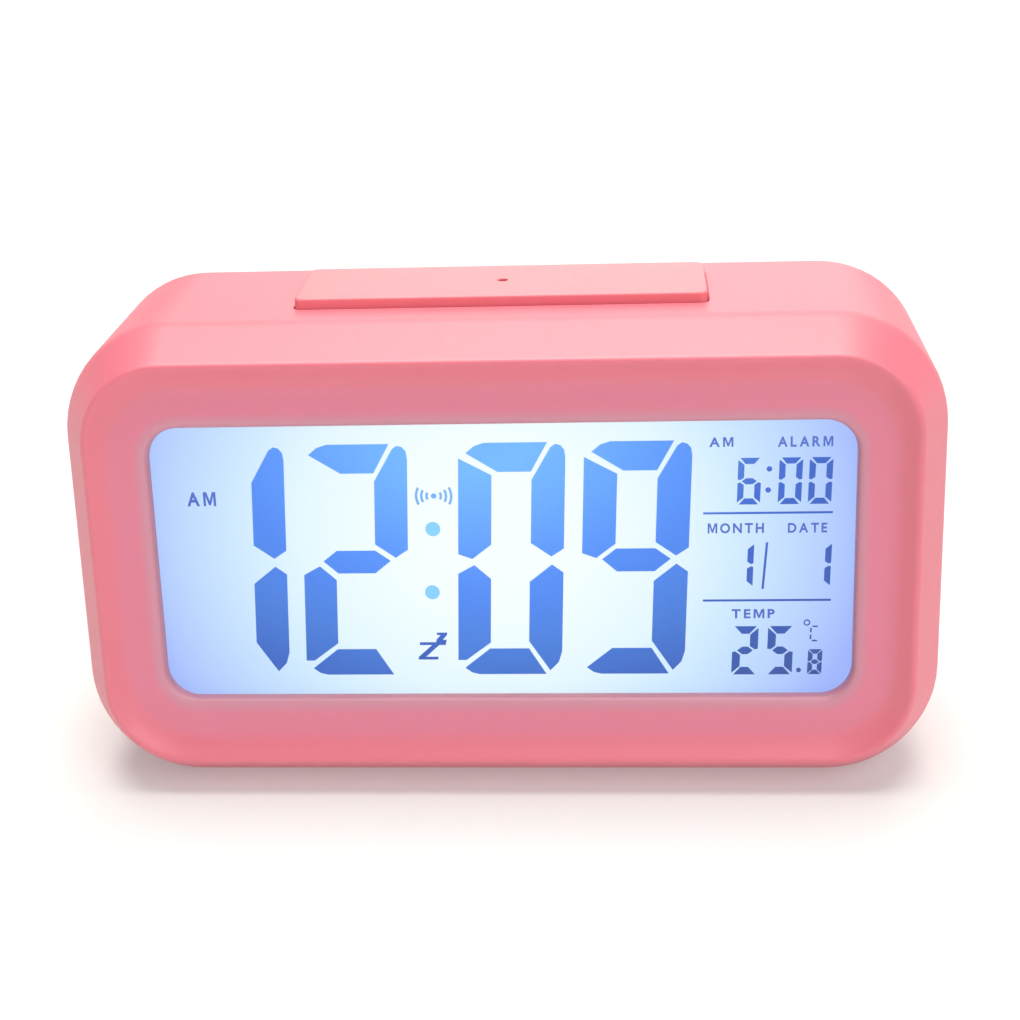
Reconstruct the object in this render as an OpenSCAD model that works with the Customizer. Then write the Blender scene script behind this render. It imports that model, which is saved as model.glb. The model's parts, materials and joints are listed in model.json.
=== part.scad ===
// Table alarm clock with a backlit liquid-crystal display, a long snooze bar
// and a hinged battery door. Millimetres, +Z up, the display faces -Y, and the
// origin is the centre of the footprint on the table.

/* [Case] */
// Width of the case, side to side
case_w = 135; // [133:0.5:140]
// Depth of the case, from the foot of the front ring to the rear rim
case_d = 45; // [44.5:0.5:48]
// Height of the case without the snooze bar
case_h = 73.4; // [73:0.2:76]
// Radius of the case's corners, seen from the front
case_r = 17.4; // [17:0.2:18]
// Wall thickness of the case
wall = 2.2; // [2:0.1:2.4]
// Angle that the front leans back from upright
lean = 6; // [5:0.5:7]

/* [Front ring] */
// Depth of the bevelled ring, from its crest back to the straight walls
ring_depth = 8.7; // [8:0.1:9.5]
// How far the bevel draws in on its way to the crest
ring_inset = 4.4; // [4:0.1:4.8]
// Distance from the ring's outline in to the flat face
face_inset = 8.2; // [7.8:0.1:8.6]
// Depth of the flat face below the crest
face_depth = 1.9; // [1.6:0.1:2.2]
// Width of the display window
window_w = 106.9; // [105:0.1:107.5]
// Height of the display window
window_h = 43.9; // [42:0.1:44.5]
// Corner radius of the display window
window_r = 5; // [3:0.5:6]
// Depth of the clear lens below the crest
lens_depth = 4.2; // [4:0.1:4.6]

/* [Snooze bar] */
// Length of the snooze bar
bar_l = 63.5; // [56:0.5:64]
// Width of the snooze bar, front to back
bar_w = 17.8; // [17:0.1:18.2]
// How far the snooze bar stands out of the case
bar_rise = 1.6; // [1.2:0.1:2.2]
// Travel of the snooze bar
bar_travel = 0.8; // [0.4:0.1:0.9]
// Diameter of the light sensor's hole in the bar
sensor_hole_d = 1.6; // [1:0.1:2.4]

/* [Rear controls] */
// Travel of the four set buttons
button_travel = 0.6; // [0.3:0.1:0.7]
// Travel of the two slide switches
slider_travel = 4; // [3:0.5:4]
// Height of the row of controls above the table
controls_z = 54.5; // [54:0.5:55]

/* [Battery door] */
// Width of the battery door
door_w = 54; // [53.6:0.1:54.4]
// Height of the battery door
door_h = 37; // [36.8:0.1:37.2]
// Thickness of the battery door
door_t = 2; // [1.9:0.1:2.1]

/* [Hidden] */
$fn = 72;

// Colours
pink = "#e88f9c";
pale_pink = "#f3b9b8";
white_plastic = "#f2f1ec";
clear_tint = "#dfeaf2";
glass_tint = "#c4d6e4";
film_grey = "#9aa6ad";
circuit_green = "#2f6b46";
nickel = "#c9c9c4";
brass = "#c8a34a";
black_plastic = "#26262a";

// A hair of room between parts that only touch
gap = 0.1;

// The front ring, in the leaning frame of the face
ring_w = case_w - 0.2;
ring_h = case_h / cos(lean) - 0.2;
ring_r = case_r - 0.1;
crest_round = 0.8;
crest_s = ring_inset + 0.5;
crest_y = -case_d / 2 + (ring_h / 2 - crest_s) * sin(lean);
crest_z = case_h / 2 + ring_depth * sin(lean);

// Depths of the display stack below the crest, front surface of each layer
lens_t = 1.5;
polariser_z = -lens_depth - lens_t - 0.2;
front_glass_z = polariser_z - 0.2;
glass_t = 1.1;
rear_glass_z = front_glass_z - glass_t;
rear_polariser_z = rear_glass_z - glass_t;
diffuser_z = rear_polariser_z - 0.25;
guide_z = diffuser_z - 0.3;
guide_t = 2.5;
reflector_z = guide_z - guide_t;
frame_floor_z = reflector_z - 0.4;
frame_floor_t = 1.6;
board_z = frame_floor_z - frame_floor_t - 0.2;
board_t = 1.6;
board_w = 125.4;
board_side_h = 44;
board_mid_w = 104;
board_h = 53;
board_back = board_z - board_t;

// The liquid-crystal cell
cell_w = 109;
cell_h = 46.8;
ledge = 1.8;
led_places = [-28, 0, 28];
post_places = [[-59.5, -16], [59.5, -16], [-59.5, 16], [59.5, 16]];

// Rear cover
cover_recess = 1.2;
cover_t = 2.2;
cover_out = case_d / 2 - cover_recess;
cover_in = cover_out - cover_t;
cover_w = case_w - 2 * wall - 0.3;
cover_h = case_h - 2 * wall - 0.3;
cover_r = case_r - wall - 0.15;
screw_x = case_w / 2 - 9.5;
screw_z = case_h / 2 - 9.9;
boss_d = 6.4;
web_t = 1.6;

// Snooze bar and its board
bar_y = 8.4;
bar_top = case_h + bar_rise;
bar_roof = 1.8;
bar_wall = 1.6;
flange = 1.1;
flange_top = case_h - wall - gap;
flange_t = 1.2;
snooze_board_z = case_h - wall - 7.2;
snooze_board_t = 1.2;
snooze_board_w = 80;
snooze_board_d = 13;
snooze_switch_x = 18;
snooze_post_x = 36.5;
plunger_top = 69.7;
snooze_switch_top = plunger_top - 1;
snooze_seat = 0.6;
plunger_d = 3.4;
plunger_room = 0.2;

// Row of controls
button_x = [-43, -30, -17, -4];
slider_x = [16, 36.5];
button_board_y = 12.4;
button_board_t = 1.2;
button_board_w = 109;
button_board_h = 10;
button_face_y = button_board_y + button_board_t;
button_post_x = 51.6;
button_cap = [9, 5.6];
button_out = cover_out + 1;
button_flange = 0.9;
button_seat = 0.5;
tact_t = 3.5;
slide_t = 3.6;
knob_w = 6;
knob_h = 4;

// Battery bay and cells
bay_w = 50.4;
bay_z0 = 12;
bay_h = 34;
bay_floor = 7.6;
bay_wall = 1.5;
bay_mid = bay_z0 + bay_h / 2;
aaa_d = 10.4;
aaa_l = 44.5;
nub_d = 3.8;
nub_l = 1;
aaa_pitch = 11.2;
aaa_y = bay_floor + 0.35 + aaa_d / 2;
aaa_z = [bay_mid + aaa_pitch, bay_mid, bay_mid - aaa_pitch];
contact_t = 0.4;
door_z0 = bay_mid - door_h / 2;
hinge_y = cover_out - door_t / 2;
hinge_z = door_z0 + door_t / 2;
hinge_pin_d = 1.2;

// Sounder and air vents
piezo_x = 47;
piezo_z = 29;
piezo_d = 27;
ceramic_d = 20;
sound_hole_d = 1.8;
sound_ring = 4;
vent_x = -47;
vent_pitch = 4;

// Leads and ribbon cables
lead_d = 1.2;
lead_steps = 6;
ribbon_t = 0.8;
ribbon_steps = 5;

// ---- Shared shapes

// A flat rounded rectangle, with true arcs at its corners
module rounded_rect(w, h, r) {
    square([w - 2 * r, h], center = true);
    square([w, h - 2 * r], center = true);
    for (x = [-1, 1], y = [-1, 1])
        translate([x * (w / 2 - r), y * (h / 2 - r)]) circle(r);
}

// A long shape with fully round ends, along X
module pill(w, h) {
    square([w - h, h], center = true);
    for (x = [-1, 1]) translate([x * (w - h) / 2, 0]) circle(d = h);
}

// A rounded plate that stands upright, from y0 back to y1
module upright(w, h, r, y0, y1, x = 0, z = 0) {
    translate([x, y1, z]) rotate([90, 0, 0])
        linear_extrude(y1 - y0) rounded_rect(w, h, r);
}

// A rounded plate that lies flat, from z0 up to z1
module flat(w, h, r, z0, z1, x = 0, y = 0) {
    translate([x, y, z0]) linear_extrude(z1 - z0) rounded_rect(w, h, r);
}

// A pill that stands upright, from y0 back to y1
module upright_pill(w, h, y0, y1, x = 0, z = 0) {
    translate([x, y1, z]) rotate([90, 0, 0]) linear_extrude(y1 - y0) pill(w, h);
}

// A rod along Y
module rod_y(d, y0, y1, x = 0, z = 0) {
    translate([x, y1, z]) rotate([90, 0, 0]) cylinder(d = d, h = y1 - y0);
}

// A box from its low corner and its size
module block(low, size) {
    translate(low) cube(size);
}

// Moves its children from the leaning frame of the face into the case
module on_face() {
    translate([0, crest_y, crest_z]) rotate([90 - lean, 0, 0]) children();
}

// Carries a flat profile round a rounded rectangle. In the profile, x is
// measured outwards from the centre of the corner's arc.
module swept_frame(w, h, r) {
    for (k = [0:3]) rotate(90 * k) {
        a = k % 2 == 0 ? w : h;
        b = k % 2 == 0 ? h : w;
        translate([a / 2 - r, b / 2 - r, 0]) {
            rotate_extrude(angle = 90) children();
            rotate([90, 0, 0]) linear_extrude(b - 2 * r) children();
        }
    }
}

// Points of an arc, from angle a0 to a1 in n steps
function arc(c, r, a0, a1, n) =
    [for (i = [0:n]) c + r * [cos(a0 + (a1 - a0) * i / n), sin(a0 + (a1 - a0) * i / n)]];

// A point on a Catmull-Rom curve through four points
function between(a, b, c, d, t) =
    0.5 * ((2 * b) + (c - a) * t + (2 * a - 5 * b + 4 * c - d) * t * t
        + (3 * b - a - 3 * c + d) * t * t * t);

// A smooth path through points, with n steps for each span
function smooth_path(p, n) = [
    for (i = [0:len(p) - 2], k = [0:n - 1])
        between(p[max(i - 1, 0)], p[i], p[i + 1], p[min(i + 2, len(p) - 1)], k / n),
    p[len(p) - 1]
];

function unit(v) = v / norm(v);

// A tube from rings of points, closed at both ends
module skin(rings) {
    n = len(rings);
    m = len(rings[0]);
    polyhedron(
        points = [for (ring = rings, p = ring) p],
        faces = [
            [for (j = [0:m - 1]) j],
            for (i = [0:n - 2], j = [0:m - 1])
                [i * m + j, (i + 1) * m + j, (i + 1) * m + (j + 1) % m, i * m + (j + 1) % m],
            [for (j = [m - 1:-1:0]) (n - 1) * m + j]
        ]
    );
}

// A round wire along a path. No stretch of the path runs along the side vector.
module wire(path, d, side, sides = 8) {
    n = len(path);
    skin([
        for (i = [0:n - 1])
            let (t = unit(path[min(i + 1, n - 1)] - path[max(i - 1, 0)]),
                u = unit(cross(t, side)), v = cross(t, u))
                [for (j = [0:sides - 1])
                    path[i] + d / 2 * (cos(360 * j / sides) * u - sin(360 * j / sides) * v)]
    ]);
}

// A conical coil spring along +Z
module coil(r0, r1, length, turns, wire_d, steps = 16, sides = 8) {
    n = turns * steps;
    skin([
        for (i = [0:n])
            let (a = 360 * i / steps, r = r0 + (r1 - r0) * i / n,
                z = wire_d / 2 + (length - wire_d) * i / n,
                out = [cos(a), sin(a), 0])
                [for (j = [0:sides - 1])
                    r * out + [0, 0, z]
                        + wire_d / 2 * (cos(360 * j / sides) * out
                            + sin(360 * j / sides) * [0, 0, 1])]
    ]);
}

// A cross recess in a screw's head, cut down from z = 0
module cross_recess(size, depth) {
    for (a = [0, 90]) rotate(a)
        translate([-size / 2, -size / 8, -depth]) cube([size, size / 4, depth + 1]);
}

// A pan-head screw with its head's seat at z = 0 and its shank along -Z
module pan_screw(head_d, head_t, shank_d, shank_l) {
    difference() {
        union() {
            cylinder(d = head_d, h = head_t);
            translate([0, 0, -shank_l]) cylinder(d = shank_d, h = shank_l + 0.1);
        }
        translate([0, 0, head_t]) cross_recess(head_d * 0.6, head_t * 0.6);
    }
}

// ---- Case

// Half section of the front ring, for swept_frame
module ring_section() {
    crest = [ring_r - crest_s, -crest_round];
    polygon(concat(
        [[ring_r - 0.8, -ring_depth - 0.5], [ring_r - 0.8, -ring_depth], [ring_r, -ring_depth]],
        arc(crest, crest_round, 28, 116, 5),
        [
            [ring_r - face_inset, -face_depth],
            [ring_r - face_inset - 0.4, -face_depth],
            [ring_r - face_inset - 0.4, -lens_depth],
            [ring_r - 5.2, -lens_depth],
            [ring_r - 2.9, -ring_depth + 0.4],
            [ring_r - 2.9, -ring_depth],
            [ring_r - 1.6, -ring_depth],
            [ring_r - 1.6, -ring_depth - 0.5]
        ]
    ));
}

// Four corner bosses for the case screws, grown by extra all round, each with
// a web out to the corner of the case
module corner_bosses(extra = 0) {
    for (x = [-1, 1], up = [-1, 1])
        translate([x * screw_x, 0, case_h / 2 + up * screw_z]) {
            rod_y(boss_d + 2 * extra, up > 0 ? -13.4 : -17.6, cover_in - 0.05);
            rotate([0, -45 * x * up, 0])
                translate([x > 0 ? 2.5 : -6, -4, -web_t / 2 - extra])
                    cube([3.5, cover_in + 3.95, web_t + 2 * extra]);
        }
}

// The flat face round the window, with a rolled edge to the window
module face_plate() {
    difference() {
        flat(ring_w - 2 * face_inset, ring_h - 2 * face_inset, ring_r - face_inset,
            -lens_depth, -face_depth);
        flat(window_w, window_h, window_r, -lens_depth - 1, 0);
        for (step = [[0.5, 1.15], [1, 0.65], [1.5, 0.3], [2, 0.1]])
            flat(window_w + 2 * step[0], window_h + 2 * step[0], window_r + step[0],
                -face_depth - 2.3 + 2.3 * (1 - step[1] / 1.6) - 0.05, 0);
    }
}

// The straight walls behind the ring
module case_walls() {
    difference() {
        upright(case_w, case_h, case_r, -case_d / 2, case_d / 2, z = case_h / 2);
        upright(case_w - 2 * wall, case_h - 2 * wall, case_r - wall,
            -case_d, case_d, z = case_h / 2);
        on_face() translate([-case_w, -case_h, -ring_depth]) cube([2 * case_w, 2 * case_h, 60]);
    }
}

module front_case() {
    color(pink) difference() {
        union() {
            on_face() swept_frame(ring_w, ring_h, ring_r) ring_section();
            on_face() face_plate();
            case_walls();
            corner_bosses();
            on_face() for (p = post_places)
                translate([p[0], p[1], board_z + 0.05])
                    cylinder(d = 5, h = -board_z - lens_depth + 0.5);
            for (x = [-1, 1])
                translate([x * snooze_post_x, bar_y, snooze_board_z + snooze_board_t + 0.05])
                    cylinder(d = 5.6, h = case_h - wall - snooze_board_z - snooze_board_t + 0.5);
        }
        // slot for the snooze bar
        flat(bar_l + 0.6, bar_w + 0.6, 1.5, case_h - wall - 1, case_h + 1, y = bar_y);
        // pilot holes
        for (x = [-1, 1], up = [-1, 1])
            rod_y(2.9, 8, cover_in + 1, x * screw_x, case_h / 2 + up * screw_z);
        on_face() for (p = post_places)
            translate([p[0], p[1], board_z - 1]) cylinder(d = 2, h = 6);
        for (x = [-1, 1])
            translate([x * snooze_post_x, bar_y, snooze_board_z]) cylinder(d = 2, h = 7);
    }
}

// ---- Rear cover and battery door

module rear_cover() {
    color(pink) difference() {
        union() {
            upright(cover_w, cover_h, cover_r, cover_in, cover_out, z = case_h / 2);
            // ledge round the battery door, then the bay's own walls
            upright(door_w + 3.4, door_h + 3.4, 2, cover_in - 1.5, cover_in + 0.1, z = bay_mid);
            block([-bay_w / 2 - bay_wall, bay_floor - bay_wall, bay_z0 - bay_wall],
                [bay_w + 2 * bay_wall, cover_in - bay_floor + bay_wall, bay_h + 2 * bay_wall]);
            // collar that holds the sounder
            rod_y(piezo_d + 2.6, cover_in - 2.6, cover_in + 0.1, piezo_x, piezo_z);
            for (x = [-1, 1])
                rod_y(5.4, button_face_y + 0.05, cover_in + 0.1, x * button_post_x, controls_z);
        }
        // door opening, bay and cradle floor
        block([-door_w / 2 - 0.2, cover_in, door_z0 - 0.2], [door_w + 0.4, 9, door_h + 0.4]);
        block([-bay_w / 2, bay_floor, bay_z0], [bay_w, case_d, bay_h]);
        // bearing holes for the door's hinge pins
        translate([-door_w / 2 - 1.4, hinge_y, hinge_z]) rotate([0, 90, 0])
            cylinder(d = hinge_pin_d + 0.1, h = door_w + 2.8);
        // slits for the contacts' tails
        for (x = [-1, 1])
            block([x * (bay_w / 2 - 0.45) - 0.45, bay_floor - bay_wall - 1, aaa_z[x < 0 ? 0 : 2] - 2],
                [0.9, bay_wall + 2, 4]);
        // countersunk holes for the case screws
        for (x = [-1, 1], up = [-1, 1])
            translate([x * screw_x, cover_out, case_h / 2 + up * screw_z]) rotate([90, 0, 0]) {
                translate([0, 0, -1]) cylinder(d = 3.2, h = cover_t + 2);
                translate([0, 0, -0.01]) cylinder(d1 = 5.8, d2 = 3.2, h = 1.4);
            }
        // openings for the buttons and the sliders
        for (x = button_x)
            upright_pill(button_cap[0] + 0.4, button_cap[1] + 0.4,
                cover_in - 1, cover_out + 1, x, controls_z);
        for (x = slider_x)
            upright(knob_w + 0.6 + slider_travel, knob_h + 0.6, 1,
                cover_in - 1, cover_out + 1, x, controls_z);
        for (x = [-1, 1])
            rod_y(2, button_face_y - 1, cover_in - 0.6, x * button_post_x, controls_z);
        // sounder seat and sound holes
        rod_y(piezo_d + 0.3, cover_in - 3, cover_in - 1.1, piezo_x, piezo_z);
        rod_y(piezo_d - 2, cover_in - 3, cover_in, piezo_x, piezo_z);
        rod_y(sound_hole_d, cover_in - 1, cover_out + 1, piezo_x, piezo_z);
        for (ring = [1:2], k = [0:6 * ring - 1])
            rod_y(sound_hole_d, cover_in - 1, cover_out + 1,
                piezo_x + sound_ring * ring * cos(60 * k / ring),
                piezo_z + sound_ring * ring * sin(60 * k / ring));
        // air vents beside the temperature sensor
        for (k = [-2:2])
            translate([vent_x + vent_pitch * k, 0, piezo_z]) rotate([0, 90, 0])
                upright_pill(13, 1.6, cover_in - 1, cover_out + 1);
    }
}

module battery_door() {
    color(pink) difference() {
        union() {
            // panel with a rounded lower edge that turns about the pins
            translate([-door_w / 2, cover_out - door_t, hinge_z])
                cube([door_w, door_t, door_h - door_t / 2]);
            translate([-door_w / 2, hinge_y, hinge_z]) rotate([0, 90, 0])
                cylinder(d = door_t, h = door_w);
            translate([-door_w / 2 - 1, hinge_y, hinge_z]) rotate([0, 90, 0])
                cylinder(d = hinge_pin_d, h = door_w + 2);
            // two ribs inside that hold the cells down
            for (x = [-12, 12])
                block([x - 0.6, cover_in - 0.35, door_z0 + 4], [1.2, 0.6, door_h - 8]);
            // latch bead on the upper edge
            translate([-5, hinge_y, door_z0 + door_h - 0.35]) rotate([0, 90, 0])
                cylinder(d = 1, h = 10);
        }
        // finger notch under the upper edge
        translate([0, cover_out + 3.6, door_z0 + door_h - 5]) rotate([0, 90, 0])
            translate([0, 0, -7]) cylinder(r = 4.6, h = 14);
    }
}

// ---- Snooze bar

module snooze_bar() {
    color(pale_pink) difference() {
        union() {
            flat(bar_l, bar_w, 1.2, flange_top - flange_t, bar_top, y = bar_y);
            flat(bar_l + 2 * flange, bar_w + 2 * flange, 1.5,
                flange_top - flange_t, flange_top, y = bar_y);
        }
        difference() {
            flat(bar_l - 2 * bar_wall, bar_w - 2 * bar_wall, 0.6,
                flange_top - flange_t - 1, bar_top - bar_roof, y = bar_y);
            // posts that press the two switches
            for (x = [-1, 1])
                translate([x * snooze_switch_x, bar_y, plunger_top + 0.05])
                    cylinder(d = 4.2, h = bar_top - bar_roof - plunger_top + 1);
        }
        translate([0, bar_y, bar_top - bar_roof - 1]) cylinder(d = sensor_hole_d, h = bar_roof + 2);
    }
}

// ---- Display stack

// One layer of the display stack, front surface at z
module layer(w, h, t, z, dy = 0) {
    on_face() translate([-w / 2, -h / 2 + dy, z - t]) cube([w, h, t]);
}

module display_lens() {
    color(clear_tint) on_face()
        flat(window_w + 4.8, window_h + 4.8, window_r + 1, -lens_depth - lens_t, -lens_depth);
}

module front_polariser() {
    color(film_grey) layer(cell_w - 1, cell_h - 1, 0.2, polariser_z);
}

module lcd_front_glass() {
    color(glass_tint) layer(cell_w, cell_h + ledge, glass_t, front_glass_z, -ledge / 2);
}

module lcd_rear_glass() {
    color(glass_tint) layer(cell_w, cell_h, glass_t, rear_glass_z);
}

module rear_polariser() {
    color(film_grey) layer(cell_w - 1, cell_h - 1, 0.2, rear_polariser_z);
}

module diffuser_sheet() {
    color(white_plastic) layer(cell_w - 1, cell_h - 1, 0.25, diffuser_z);
}

module light_guide() {
    color(clear_tint) layer(cell_w - 1, cell_h - 1, guide_t, guide_z);
}

module reflector_sheet() {
    color(white_plastic) layer(cell_w - 1, cell_h - 1, 0.2, reflector_z - 0.1);
}

module display_frame() {
    color(white_plastic) difference() {
        on_face() {
            depth = frame_floor_z - frame_floor_t;
            difference() {
                flat(cell_w + 3, cell_h + 6.4, 3, depth, polariser_z - 0.1, y = 0.4);
                // front glass with its contact ledge
                translate([-cell_w / 2 - 0.2, -cell_h / 2 - ledge - 0.2, rear_glass_z - 0.05])
                    cube([cell_w + 0.4, cell_h + ledge + 0.4, 9]);
                // rear glass, films and light guide
                translate([-cell_w / 2 - 0.2, -cell_h / 2 - 0.1, frame_floor_z])
                    cube([cell_w + 0.4, cell_h + 0.3, 12]);
                // slot for the contact strip
                translate([-46.3, -cell_h / 2 - ledge, depth - 1]) cube([92.6, ledge - 0.1, 12]);
                // pockets for the backlight
                for (x = led_places)
                    translate([x - 1.9, cell_h / 2, frame_floor_z]) cube([3.8, 1.9, 12]);
            }
        }
        corner_bosses(0.4);
    }
}

module backlight_leds() {
    color(white_plastic) on_face() for (x = led_places)
        translate([x - 1.6, cell_h / 2 + 0.1, guide_z - guide_t + 0.1]) cube([3.2, 1.5, 2.2]);
}

module zebra_strip() {
    color(black_plastic) on_face()
        translate([-46, -cell_h / 2 - ledge + 0.15, board_z + 0.02])
            cube([92, ledge - 0.4, rear_glass_z - board_z - 0.04]);
}

// ---- Main board

module main_board() {
    color(circuit_green) difference() {
        on_face() difference() {
            union() {
                flat(board_w, board_side_h, 1.5, board_back, board_z);
                flat(board_mid_w, board_h, 1.5, board_back, board_z, y = -0.5);
            }
            for (p = post_places)
                translate([p[0], p[1], board_back - 1]) cylinder(d = 2.3, h = board_t + 2);
        }
        corner_bosses(0.5);
    }
}

module controller_blob() {
    color(black_plastic) on_face() intersection() {
        translate([-10, 2, board_back + 14.2]) sphere(r = 16);
        translate([-30, -18, board_back - 5]) cube([40, 40, 5]);
    }
}

module clock_crystal() {
    color(nickel) on_face() translate([6, 9, board_back - 1.55]) rotate([0, 90, 0])
        cylinder(d = 3, h = 8);
}

module electrolytic_capacitor() {
    color(black_plastic) on_face() translate([-44, 4, board_back - 2.55]) rotate([0, 90, 0])
        cylinder(d = 5, h = 7.5);
}

module chip_components() {
    color("#3a3a3c") on_face() {
        for (k = [0:4])
            translate([9 + 4 * k, -4, board_back - 0.6]) cube([2, 1.25, 0.6]);
        for (k = [0:3])
            translate([-34, -2 - 4 * k, board_back - 0.6]) cube([1.25, 2, 0.6]);
    }
}

// ---- Sounder and sensors

module piezo_plate() {
    color(brass) rod_y(piezo_d, cover_in - 1.4, cover_in - 1.1, piezo_x, piezo_z);
}

module piezo_ceramic() {
    color(white_plastic) rod_y(ceramic_d, cover_in - 1.65, cover_in - 1.4, piezo_x, piezo_z);
}

// A glass bead on two leads that stand off the main board
module thermistor() {
    bead = [vent_x, 12, piezo_z];
    color(black_plastic) {
        translate(bead) rotate([90, 0, 0]) rotate_extrude()
            polygon([[0, -1.6], [0.5, -1.6], [1.3, -0.8], [1.3, 0.8], [0.5, 1.6], [0, 1.6]]);
        for (x = [-0.6, 0.6])
            rod_y(0.4, -3.9, bead[1] - 1.2, bead[0] + x, bead[2]);
    }
}

// A light-dependent resistor under the hole in the snooze bar
module light_sensor() {
    top = flange_top;
    color("#d88a4a") {
        translate([0, bar_y, top - 2]) cylinder(d = 5, h = 2);
        for (x = [-1.7, 1.7])
            translate([x, bar_y, snooze_board_z + snooze_board_t + 0.02])
                cylinder(d = 0.5, h = top - 1.9 - snooze_board_z - snooze_board_t);
    }
}

// ---- Snooze switches

module snooze_board() {
    color(circuit_green) difference() {
        flat(snooze_board_w, snooze_board_d, 1,
            snooze_board_z, snooze_board_z + snooze_board_t, y = bar_y);
        for (x = [-1, 1])
            translate([x * snooze_post_x, bar_y, snooze_board_z - 1]) cylinder(d = 2.4, h = 4);
    }
}

// A push switch's body standing on z = 0, with room for its plunger
module tact_body(height, depth) {
    difference() {
        translate([-3, -3, 0]) cube([6, 6, height]);
        translate([0, 0, height - depth]) cylinder(d = plunger_d + 0.3, h = depth + 1);
    }
}

module snooze_switches() {
    floor_z = snooze_board_z + snooze_board_t;
    color(black_plastic) for (x = [-1, 1])
        translate([x * snooze_switch_x, bar_y, floor_z + 0.02])
            tact_body(snooze_switch_top - floor_z, snooze_seat + bar_travel + plunger_room);
}

module snooze_plungers() {
    foot = snooze_switch_top - snooze_seat;
    color(nickel) for (x = [-1, 1])
        translate([x * snooze_switch_x, bar_y, foot]) cylinder(d = plunger_d, h = plunger_top - foot);
}

// ---- Rear controls

module button_board() {
    color(circuit_green) difference() {
        upright(button_board_w, button_board_h, 1, button_board_y, button_face_y, z = controls_z);
        for (x = [-1, 1])
            rod_y(2.4, button_board_y - 1, button_face_y + 1, x * button_post_x, controls_z);
    }
}

module button_switches() {
    color(black_plastic) for (x = button_x)
        translate([x, button_face_y + 0.02, controls_z]) rotate([-90, 0, 0])
            tact_body(tact_t, button_seat + button_travel + plunger_room);
}

module set_plunger_at(x) {
    color(nickel)
        rod_y(plunger_d, button_face_y + tact_t - button_seat, cover_in - 1.15, x, controls_z);
}

module set_button_at(x) {
    color(pale_pink) {
        upright_pill(button_cap[0], button_cap[1], cover_in - 1.1, button_out, x, controls_z);
        upright_pill(button_cap[0] + 2 * button_flange, button_cap[1] + 2 * button_flange,
            cover_in - 1.1, cover_in - 0.2, x, controls_z);
    }
}

module slide_switches() {
    color(nickel) for (x = slider_x) difference() {
        block([x - 4.6, button_face_y + 0.02, controls_z - 2.2], [9.2, slide_t, 4.4]);
        block([x - 3.2, button_face_y + slide_t - 1.4, controls_z - 1], [6.4, 3, 2]);
    }
}

// The switch's own lever, at the left end of its travel
module lever_at(x) {
    color(black_plastic)
        block([x - slider_travel / 2 - 0.8, button_face_y + slide_t - 1.3, controls_z - 0.8],
            [1.6, cover_in - 1.25 - button_face_y - slide_t + 1.3, 1.6]);
}

// Thumb piece with three grip ridges, at the left end of its travel
module slider_at(x) {
    at = x - slider_travel / 2;
    color(pale_pink) {
        upright(knob_w, knob_h, 0.8, cover_in - 0.5, cover_out + 0.2, at, controls_z);
        for (k = [-1:1])
            block([at + 1.7 * k - 0.35, cover_out, controls_z - 1.6], [0.7, 0.8, 3.2]);
        upright(knob_w + 0.6 + 2 * slider_travel, knob_h + 2.4, 1,
            cover_in - 1.2, cover_in - 0.2, at, controls_z);
    }
}

// ---- Battery contacts and cells

// A contact plate against the bay's end wall, side -1 at the left, that spans
// the cells from row first to row last
module contact_plate(side, first, last, tail) {
    x0 = side < 0 ? -bay_w / 2 + 0.02 : bay_w / 2 - contact_t - 0.02;
    low = aaa_z[last] - 4.4;
    color(nickel) {
        block([x0, bay_floor + 0.5, low], [contact_t, 9, aaa_z[first] + 4.4 - low]);
        if (tail)
            block([x0, bay_floor - bay_wall - 2.5, aaa_z[first] - 1.5], [contact_t, 5, 3]);
    }
}

// Conical springs press on the cells' flat ends
module battery_springs() {
    rows = [[1, 0], [-1, 1], [1, 2]];
    reach = bay_w - 2 * contact_t - aaa_l - 0.24;
    color(nickel) for (s = rows)
        translate([s[0] * (bay_w / 2 - contact_t - 0.08), aaa_y, aaa_z[s[1]]])
            rotate([0, -90 * s[0], 0]) coil(3.9, 2.4, reach, 4.5, 0.6);
}

// A AAA cell with its nub towards side
module cell(row, side) {
    tip = side * (bay_w / 2 - contact_t - 0.08);
    color("#3d6ea5") translate([tip, aaa_y, aaa_z[row]]) rotate([0, -90 * side, 0]) {
        cylinder(d = nub_d, h = nub_l + 0.5);
        translate([0, 0, nub_l]) cylinder(d = aaa_d, h = aaa_l - nub_l);
    }
}

// ---- Wiring

// Supply lead and sounder lead, each from its terminal to the main board
module red_leads() {
    supply = [[-25, 2.9, aaa_z[0] + 1], [-26, 2, 44], [-29, 1.5, 48], [-31, -0.5, 50], [-31, -2.4, 50]];
    sounder = [[piezo_x - 4, cover_in - 2.4, 32], [40, 12, 33], [33, 6, 34], [29, 0, 35], [28, -3.4, 35]];
    color("#c8322c") {
        wire(smooth_path(supply, lead_steps), lead_d, [1, 0, 0.2]);
        wire(smooth_path(sounder, lead_steps), lead_d, [0, 0.2, 1]);
    }
}

module black_leads() {
    supply = [[25, 2.9, aaa_z[2] - 1], [26, 1.5, 14], [26, -2, 12.5], [25, -5.6, 12.5]];
    sounder = [
        [piezo_x - 12, cover_in - 2.4, 27], [36, 11, 27], [31, 5, 28], [28, -1, 29], [27.5, -4, 29]
    ];
    color("#222224") {
        wire(smooth_path(supply, lead_steps), lead_d, [1, 0, 0.2]);
        wire(smooth_path(sounder, lead_steps), lead_d, [0, 0.2, 1]);
    }
}

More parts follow.
